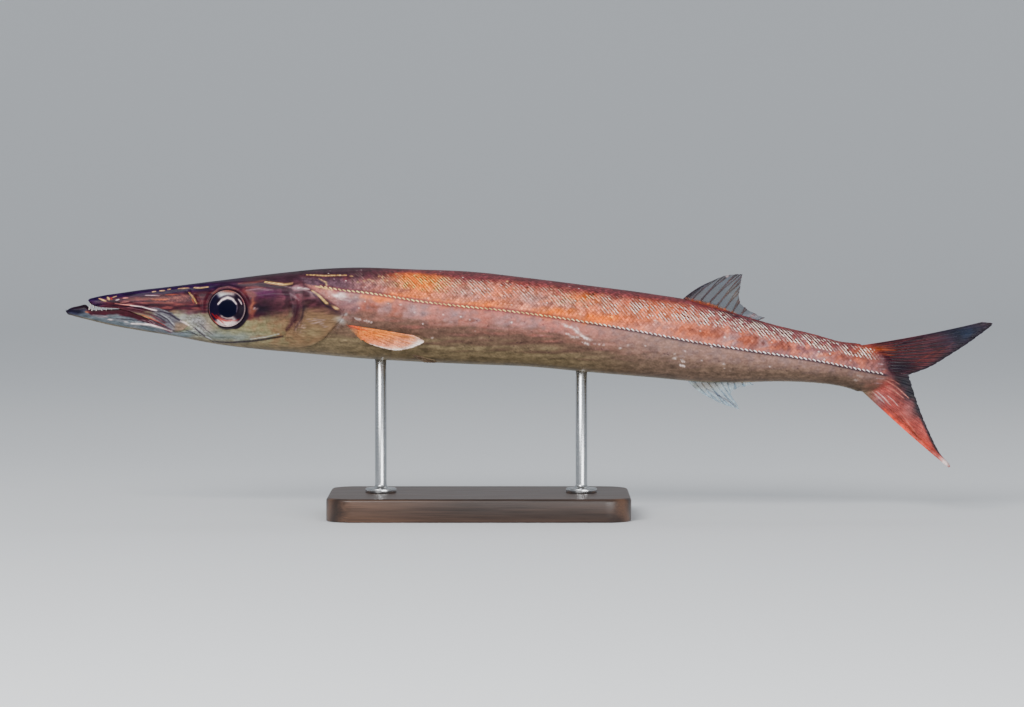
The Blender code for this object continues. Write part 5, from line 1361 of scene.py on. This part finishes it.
def ray_crest(share, t, rays, spread, half):
    """1 on the crest of a ray and 0 on bare membrane; each ray branches twice towards its tip."""
    phase = share * (rays - 1)
    offset = phase - np.round(phase)
    first = 0.2 * spread * smooth_step((t - 0.25) / 0.65)
    second = 0.085 * spread * smooth_step((t - 0.6) / 0.4)
    width = half * (1 - 0.6 * t)
    crest = np.zeros(np.shape(t))
    for a in (-1, 1):
        for b in (-1, 1):
            crest = np.maximum(crest, np.exp(-(((offset - a * first - b * second) / width) ** 2)))
    return crest


def on_midline(s, h, t):
    points = np.stack([s, 0 * s, h], axis=-1)
    return points, np.broadcast_to(np.array([0.0, 1.0, 0.0]), points.shape)


def over_back(s, lift, t):
    return on_midline(s, back_line(s) + lift, t)


def beside_flank(root_lift, tip_lift, drop):
    """A sheet along the right flank that stands off it towards its tip, straight sideways where drop is 0."""

    def place(s, h, t):
        way = outward(s, h) * (drop, 1, drop)
        way /= np.linalg.norm(way, axis=-1, keepdims=True)
        lift = root_lift + (tip_lift - root_lift) * t**1.3
        points = np.stack([s, flank(s, h), h], axis=-1) + way * lift[..., None]
        normal = np.cross(np.gradient(points, axis=0), np.gradient(points, axis=1))
        return points, normal / np.linalg.norm(normal, axis=-1, keepdims=True)

    return place


def fin(name, slot, material, roots, tips, rays, lift, look, side=1, root_half=0.6, bow=0.0, tail=False,
        ray_half=0.17):
    """A closed fin with branching, jointed rays and thin membrane, in place of the frame's fin."""
    membrane, ray, opacity, patches, lines, margin, margin_start = look
    share = np.linspace(0, 1, (rays - 1) * COLUMNS_PER_RAY + 1)
    root, tip = along(roots, share), along(tips, share)
    span = tip - root
    length = np.linalg.norm(span, axis=1)
    spread = np.minimum(1, length / 14)
    ends = ray_crest(share, np.ones(len(share)), rays, spread, ray_half)
    ragged = 0.2 * np.sin(share * rays * 9.7) * np.sin(share * rays * 4.1 + 1)
    reach = 1 - np.clip(FIN_NOTCH * (1 - ends) + ragged, 0, 2) / np.maximum(length, 4)
    t = np.linspace(0, 1, FIN_ROWS)[:, None] * reach
    across = np.column_stack([-span[:, 1], span[:, 0]])
    bulge = bow * (1 - share) * 4 * t * (1 - t)
    grid = root + span * t[..., None] + across * bulge[..., None]
    s, h = grid[..., 0], grid[..., 1]
    shares = np.broadcast_to(share, t.shape)
    crest = ray_crest(shares, t, rays, spread, ray_half)
    lead = np.exp(-((shares * (rays - 1) / 0.7) ** 2))
    joint = 1 + 0.12 * np.cos(2 * np.pi * t * length / RAY_JOINT) * smooth_step((t - 0.2) / 0.2)
    thick = (root_half + (0.24 - root_half) * t**0.7) * joint
    half = MEMBRANE_HALF + (thick - MEMBRANE_HALF) * np.maximum(crest, 0.8 * lead)
    edge = smooth_step((t / reach - margin_start) / (1.02 - margin_start) * 1.4) * smooth_step(shares / 0.3 + 0.2)
    bare = patched(np.broadcast_to(membrane, grid.shape[:2] + (3,)), s, h, patches)
    bony = patched(np.broadcast_to(ray, grid.shape[:2] + (3,)), s, h, patches) * joint[..., None]
    tone = blend(blend(bare, margin, 0.9 * edge), blend(bony, margin, 0.7 * edge), crest * 0.85)
    tone = stroked(tone, s, h, lines, 0.6)
    tone = tone * (1 + 0.1 * mottle(s, h) + 0.1 * grain(s, h))[..., None]
    alpha = opacity + (1 - opacity) * np.maximum(crest**1.5, np.maximum(lead, smooth_step((0.12 - t) / 0.1)))
    if tail:
        core = (flank(s, h) + 0.08) * (1 - smooth_step((s - 428) / 7))
        half = np.maximum(half, core + 0.2 * crest * smooth_step((s - tail_end(h) + 2) / 4))
        at_root = 1 - smooth_step((s - tail_end(h) + 3) / 8)
        tone = blend(tone, paint(np.minimum(s, 428), h), at_root)
    points, normal = lift(s, h, t)
    shift = normal * half[..., None]
    corners = np.vstack([(points + shift).reshape(-1, 3), (points - shift).reshape(-1, 3)]) * (1, side, 1)
    tones = np.tile(np.concatenate([tone, alpha[..., None]], axis=-1).reshape(-1, 4), (2, 1))
    obj = mesh_piece(name + "_rays", corners, sheet_faces(*t.shape), material, tones)
    fix_normals(obj.data)
    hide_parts(name)


def fix_normals(mesh):
    work = bmesh.new()
    work.from_mesh(mesh)
    bmesh.ops.recalc_face_normals(work, faces=work.faces)
    work.to_mesh(mesh)
    work.free()


FIRST_DORSAL = (
    np.array([(192, -0.5), (213, -0.5)]),
    np.array([(216, 0.15), (220, 0.25), (223, 0.2), (226, 0.1), (229, 0.0)]),
)
SECOND_DORSAL_TIPS = np.array([
    (331.9, 14.7), (342.1, 18.8), (350.4, 19.5), (349.7, 15.7), (349.1, 11.8), (348.6, 8.2),
    (349.1, 5.1), (351.7, 2.2), (355.9, -0.4), (362.1, -3.3),
])
ANAL_TIPS = np.array([
    (330.0, -42.8), (339.8, -48.0), (349.0, -50.9), (347.6, -48.0), (345.5, -45.2), (344.5, -43.1),
    (345.5, -41.3), (348.1, -40.0), (351.7, -39.0), (356.4, -38.1),
])
UPPER_LOBE = (np.array([(412.6, -17.4), (412.6, -29.6)]), np.array([
    (474.5, -5.4), (480.0, -6.3), (471.9, -13.1), (457.2, -23.0), (447.3, -28.9), (436.6, -32.9),
]))
LOWER_LOBE = (np.array([(412.6, -41.6), (412.6, -29.62)]), np.array([
    (457.6, -81.2), (458.4, -80.6), (453.2, -74.0), (447.3, -62.5), (441.3, -47.8), (436.6, -32.95),
]))
PECTORAL = (np.array([(146.0, -6.2), (148.6, -9.0), (153.2, -13.6)]), np.array([
    (181.0, -11.6), (186.0, -14.7), (182.3, -16.9), (177.0, -18.6), (172.0, -19.3), (166.0, -18.2),
    (158.5, -16.0),
]))
PELVIC = (np.array([(175.5, -21.2), (179.5, -22.9)]), np.array([
    (191.5, -23.5), (192.5, -24.4), (189.5, -24.7), (186.0, -24.6),
]))
# Looks of the fins: membrane, rays, the membrane's opacity on each face, patches, lines, margin and its start.
DORSAL_LOOK = (
    FIN_SLATE, colour(92, 64, 58), 0.4,
    ((324, 8, 10, 5, FIN_MAROON, 0.8), (342.4, 18.6, 0.8, 0.8, WHITE_PINK, 1.0), (346, 9, 5, 5, BELLY_OLIVE, 0.4),
     (356, -2.4, 5, 1.6, LILAC, 0.8)),
    ((DARK_MARK_AND_SHADE, 0.8, 0.9, [(319, 6.5), (331.9, 14.2), (342.1, 18.2), (350, 19.2)]),
     (ORANGE, 0.7, 0.7, [(321, 7), (334, 3.6), (347, -0.8)]),
     (DARK_MARK_AND_SHADE, 0.5, 0.85, [(338, 1.0), (350, -2.4), (361, -5.6)]),
     (WHITE_PINK, 0.6, 1.0, [(341.8, 18.3), (342.8, 18.4)])), FIN_MAROON, 0.93,
)
ANAL_LOOK = (
    FIN_CLEAR, colour(112, 132, 150), 0.34, ((332, -38, 8, 2.4, BELLY_OLIVE, 0.8),),
    ((DARK_MARK_AND_SHADE, 0.5, 0.8, [(332, -40), (340, -44.6), (347, -49)]), (CHEEK_TAN, 0.6, 0.7, [(343, -37), (353, -37)])),
    FIN_CLEAR, 0.93,
)
UPPER_LOOK = (
    FIN_MAROON, colour(108, 58, 56), 0.94,
    ((466, -12, 20, 8, FIN_SLATE, 0.9), (418, -19.4, 9, 1.8, ORANGE, 0.5), (432, -29, 8, 3.6, DARK_MARK_AND_SHADE, 0.95),
     (446, -14, 14, 3, colour(88, 40, 46), 0.5)),
    ((DARK_MARK_AND_SHADE, 0.8, 0.9, [(430, -18), (450, -11), (474, -6)]),
     (ORANGE, 0.35, 0.7, [(413, -18.4), (421, -19.6), (430, -20.2)]),
     (ORANGE, 0.35, 0.6, [(414, -20.4), (421, -22.0), (429, -22.8)]),
     (RUST, 0.3, 0.5, [(440, -26.5), (446, -23), (453, -19)]),
     (RUST, 0.3, 0.4, [(446, -26), (452, -21.6), (460, -16)])), DARK_MARK_AND_SHADE, 0.88,
)
# The lower lobe's white-pink lines near its root are painted glints along its rays.
LOWER_LOOK = (
    FIN_ROSE, colour(172, 92, 84), 0.96,
    ((434.5, -36.6, 5, 4.8, TAIL_DARK, 1.0), (437, -42.5, 4, 5.6, TAIL_DARK, 1.0),
     (441.2, -50, 2.8, 5, TAIL_DARK, 0.85), (431, -34, 5, 2.6, TAIL_DARK, 0.7),
     (434, -62, 5, 8, RED, 0.4), (444, -72, 5, 6, RED, 0.55), (455.8, -78.4, 2.8, 3.2, WHITE_PINK, 1.0),
     (428, -31.4, 8, 2.2, DARK_MARK_AND_SHADE, 0.8), (421, -46, 3.4, 3.4, LILAC, 0.5), (437, -52, 4, 5, LILAC, 0.3)),
    ((WHITE_PINK, 0.36, 0.8, [(417.6, -41.5), (420.4, -44), (423.7, -47)]),
     (WHITE_PINK, 0.3, 0.8, [(420, -41.5), (423.6, -44.6), (427, -48.4)]),
     (WHITE_PINK, 0.28, 0.7, [(425.6, -43.6), (428.4, -46), (431, -49)]),
     (FIN_PINK, 0.35, 0.7, [(424, -38.6), (429, -41), (434, -45)]),
     (FIN_PINK, 0.3, 0.6, [(425, -34.6), (429, -36), (432, -38)]),
     (FIN_PINK, 0.3, 0.5, [(432, -52), (438, -60), (444, -68)]),
     (DARK_MARK_AND_SHADE, 0.3, 0.5, [(421, -45.5), (432, -55), (443, -67)]),
     (FIN_PINK, 0.35, 0.8, [(424.6, -35.6), (430.6, -39.4), (436.6, -45)]),
     (RUST, 0.5, 0.8, [(427, -50.4), (436, -59.4), (446, -69.6)]), (TAIL_DARK, 0.7, 0.8, [(441, -52), (446.6, -62), (452, -73)]),
     (colour(240, 84, 50), 0.8, 0.95, [(424, -50.6), (437, -63.4), (448.6, -74)])), TAIL_DARK, 0.9,
)
PECTORAL_LOOK = (
    FIN_PINK, colour(240, 150, 100), 0.65,
    ((148.6, -7.4, 5, 1.8, RED, 0.9), (161, -10.5, 15, 4, colour(288, 158, 72), 0.95),
     (168, -19.4, 11, 2.0, WHITE_PINK, 0.5), (184, -16, 4, 3, WHITE_PINK, 0.5), (172, -20.4, 1.2, 0.7, RED, 0.7)),
    ((RUST, 0.3, 0.7, [(152, -10), (160, -13), (168, -17)]), (RUST, 0.28, 0.6, [(154, -10), (164, -13), (174, -17.6)]),
     (RUST, 0.28, 0.6, [(156, -9.6), (168, -12.4), (180, -16)]), (RUST, 0.28, 0.6, [(158, -9), (170, -11.2), (181, -14)]),
     (colour(270, 170, 90), 0.5, 0.8, [(150, -7.8), (166, -10.4), (181, -12.6)]),
     (RED, 0.4, 0.8, [(146, -6.6), (152, -8.2), (157, -9)])), WHITE_PINK, 0.88,
)
PELVIC_LOOK = (BELLY_OLIVE, MID_BROWN, 0.5, (), (), BELLY_OLIVE, 0.93)
FOLDED_LOOK = (BACK_BROWN, BACK_EDGE, 1.0, (), (), BACK_BROWN, 0.93)


def build_fins(material):
    fin("first_dorsal_fin", "dark_fin", material, *FIRST_DORSAL, 5, over_back, FOLDED_LOOK, root_half=0.35)
    for name, slot, ends, line, sunk, tips, bow, look in (
        ("second_dorsal_fin", "dark_fin", (318.8, 357.5), back_line, -0.6, SECOND_DORSAL_TIPS, 0.04, DORSAL_LOOK),
        ("anal_fin", "clear_fin", (321.5, 353.0), belly_line, 0.6, ANAL_TIPS, -0.05, ANAL_LOOK),
    ):
        stations = np.linspace(*ends, 12)
        roots = np.column_stack([stations, line(stations) + sunk])
        fin(name, slot, material, roots, tips, 10, on_midline, look, bow=bow, ray_half=0.12)
    fin("tail_fin_upper", "dark_fin", material, *UPPER_LOBE, 13, on_midline, UPPER_LOOK, bow=-0.012, tail=True)
    fin("tail_fin_lower", "warm_fin", material, *LOWER_LOBE, 13, on_midline, LOWER_LOOK, bow=-0.008, tail=True)
    for word, side in SIDES.items():
        place = beside_flank(-0.4, 7, 0)
        fin(f"pectoral_fin_{word}", "warm_fin", material, *PECTORAL, 12, place, PECTORAL_LOOK, side=side)
        place = beside_flank(-0.4, 1.6, 1)
        fin(f"pelvic_fin_{word}", "clear_fin", material, *PELVIC, 6, place, PELVIC_LOOK, side=side, root_half=0.4)


# Stand.

BASE_STATION, BASE_LENGTH, BASE_WIDTH, BASE_THICKNESS, BASE_CORNER = 214.0, 156.0, 92.0, 12.0, 14.0
ROD_STATIONS, ROD_RADIUS, ROD_SOCKET_DEPTH = {"front": 163.0, "rear": 267.0}, 3.0, 5.0
FOOT_RADIUS, FOOT_HEIGHT = 8.0, 2.5


def build_stand(wood, steel):
    rings = []
    for inset, z in (
        (0.9, 0), (0.3, 0.15), (0.0, 0.8), (0, 10.5), (0.1, 11.0), (0.44, 11.56), (1.0, 11.9), (1.5, 12.0),
        (4, 12.0),
    ):
        radius = BASE_CORNER - inset
        quarter = np.linspace(0, math.pi / 2, 20)
        ring = []
        for turn, sign_x, sign_y in ((0, 1, 1), (1, -1, 1), (2, -1, -1), (3, 1, -1)):
            angle = quarter + turn * math.pi / 2
            x = sign_x * (BASE_LENGTH / 2 - BASE_CORNER) + radius * np.cos(angle)
            y = sign_y * (BASE_WIDTH / 2 - BASE_CORNER) + radius * np.sin(angle)
            ring.append(np.column_stack([x + BASE_STATION, y, np.full(20, z - JAW_TIP_HEIGHT)]))
        rings.append(np.vstack(ring))
    points, faces = closed_loft(np.array(rings))
    base = mesh_piece("base_plate", points, faces, wood)
    fix_normals(base.data)
    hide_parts("stand_base")
    for word, station in ROD_STATIONS.items():
        top = JAW_TIP_HEIGHT + belly_line(station) + ROD_SOCKET_DEPTH - 0.3
        low = BASE_THICKNESS
        fillet = [(3 + 2 * (1 - math.sin(a)), low + FOOT_HEIGHT + 2 * (1 - math.cos(a)))
                  for a in np.linspace(0, math.pi / 2, 7)]
        profile = [(0, low), (FOOT_RADIUS - 0.2, low), (FOOT_RADIUS, low + 0.2), (FOOT_RADIUS, low + 1.9)]
        profile += [(7.9, low + 2.2), (7.7, low + 2.4), (7.4, low + FOOT_HEIGHT)] + fillet
        profile += [(ROD_RADIUS, top - 0.4), (ROD_RADIUS - 0.4, top), (0, top)]
        points, faces = lathe(profile, 64)
        rod = mesh_piece(f"rod_{word}", points + (station, 0, -JAW_TIP_HEIGHT), faces, steel)
        fix_normals(rod.data)
        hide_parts(f"stand_rod_{word}")


build_skin(skin_material())
build_scales(scale_material())
build_eyes(eye_material())
build_teeth(tooth_material())
build_fins(fin_material())
build_stand(wood_material(), steel_material())

CAMERA_TARGET = np.array([-9.0, 0, 84.2]) * 0.001
FRAME_WIDTH = 0.5304


def add_camera():
    camera = bpy.data.cameras.new("camera")
    camera.lens = camera.sensor_width * CAMERA_DISTANCE / FRAME_WIDTH
    obj = bpy.data.objects.new("camera", camera)
    bpy.context.scene.collection.objects.link(obj)
    rise = math.radians(CAMERA_ELEVATION)
    away = Vector((0, -math.cos(rise), math.sin(rise)))
    obj.location = Vector(CAMERA_TARGET) + away * CAMERA_DISTANCE
    obj.rotation_euler = away.to_track_quat("Z", "Y").to_euler()
    bpy.context.scene.camera = obj


def add_light(name, place, size, power, tint=(1, 1, 1)):
    light = bpy.data.lights.new(name, "AREA")
    light.shape, light.size, light.size_y = "RECTANGLE", size[0], size[1]
    light.energy, light.color = power, tint
    obj = bpy.data.objects.new(name, light)
    bpy.context.scene.collection.objects.link(obj)
    obj.location = place
    obj.rotation_euler = (Vector(place) - Vector(CAMERA_TARGET)).to_track_quat("Z", "Y").to_euler()


# A flat floor whose rim curves up: radius of the flat part, of the curve, and the rim's height, in metres.
FLOOR_RADIUS, RIM_CURVE, RIM_HEIGHT = 2.7, 2.0, 0.7


def add_stage():
    """A plain floor that curves up all round, farther off than any camera."""
    material, tree, shader = new_material("pale_stage")
    shader.inputs["Base Color"].default_value = (0.88, 0.89, 0.9, 1)
    shader.inputs["Roughness"].default_value = 0.9
    turn = np.linspace(0, 2 * np.pi, 120, endpoint=False)
    rise = np.linspace(0, math.acos(1 - RIM_HEIGHT / RIM_CURVE), 12)
    profile = [(0.5, 0.0), (1.5, 0.0)]
    profile += [(FLOOR_RADIUS + RIM_CURVE * math.sin(a), RIM_CURVE * (1 - math.cos(a))) for a in rise]
    points = [(r * math.cos(a), r * math.sin(a), z) for r, z in profile for a in turn]
    faces = grid_faces(len(profile), len(turn), wrap=True, flip=True).tolist()
    mesh = bpy.data.meshes.new("stage")
    mesh.from_pydata(points, [], faces + [list(range(len(turn)))])
    mesh.materials.append(material)
    mesh.shade_smooth()
    obj = bpy.data.objects.new("stage", mesh)
    bpy.context.scene.collection.objects.link(obj)


add_camera()
add_stage()
add_light("key", (-0.6, -1.5, 1.0), (0.9, 0.6), 28)
add_light("fill", (0.7, -1.6, 0.25), (1.2, 0.5), 18)
add_light("rim", (0.2, 0.6, 1.0), (1.2, 0.3), 1)
world = bpy.data.worlds.new("soft")
world.use_nodes = True
world.node_tree.nodes["Background"].inputs["Color"].default_value = (0.75, 0.8, 0.86, 1)
world.node_tree.nodes["Background"].inputs["Strength"].default_value = 0.55
bpy.context.scene.world = world
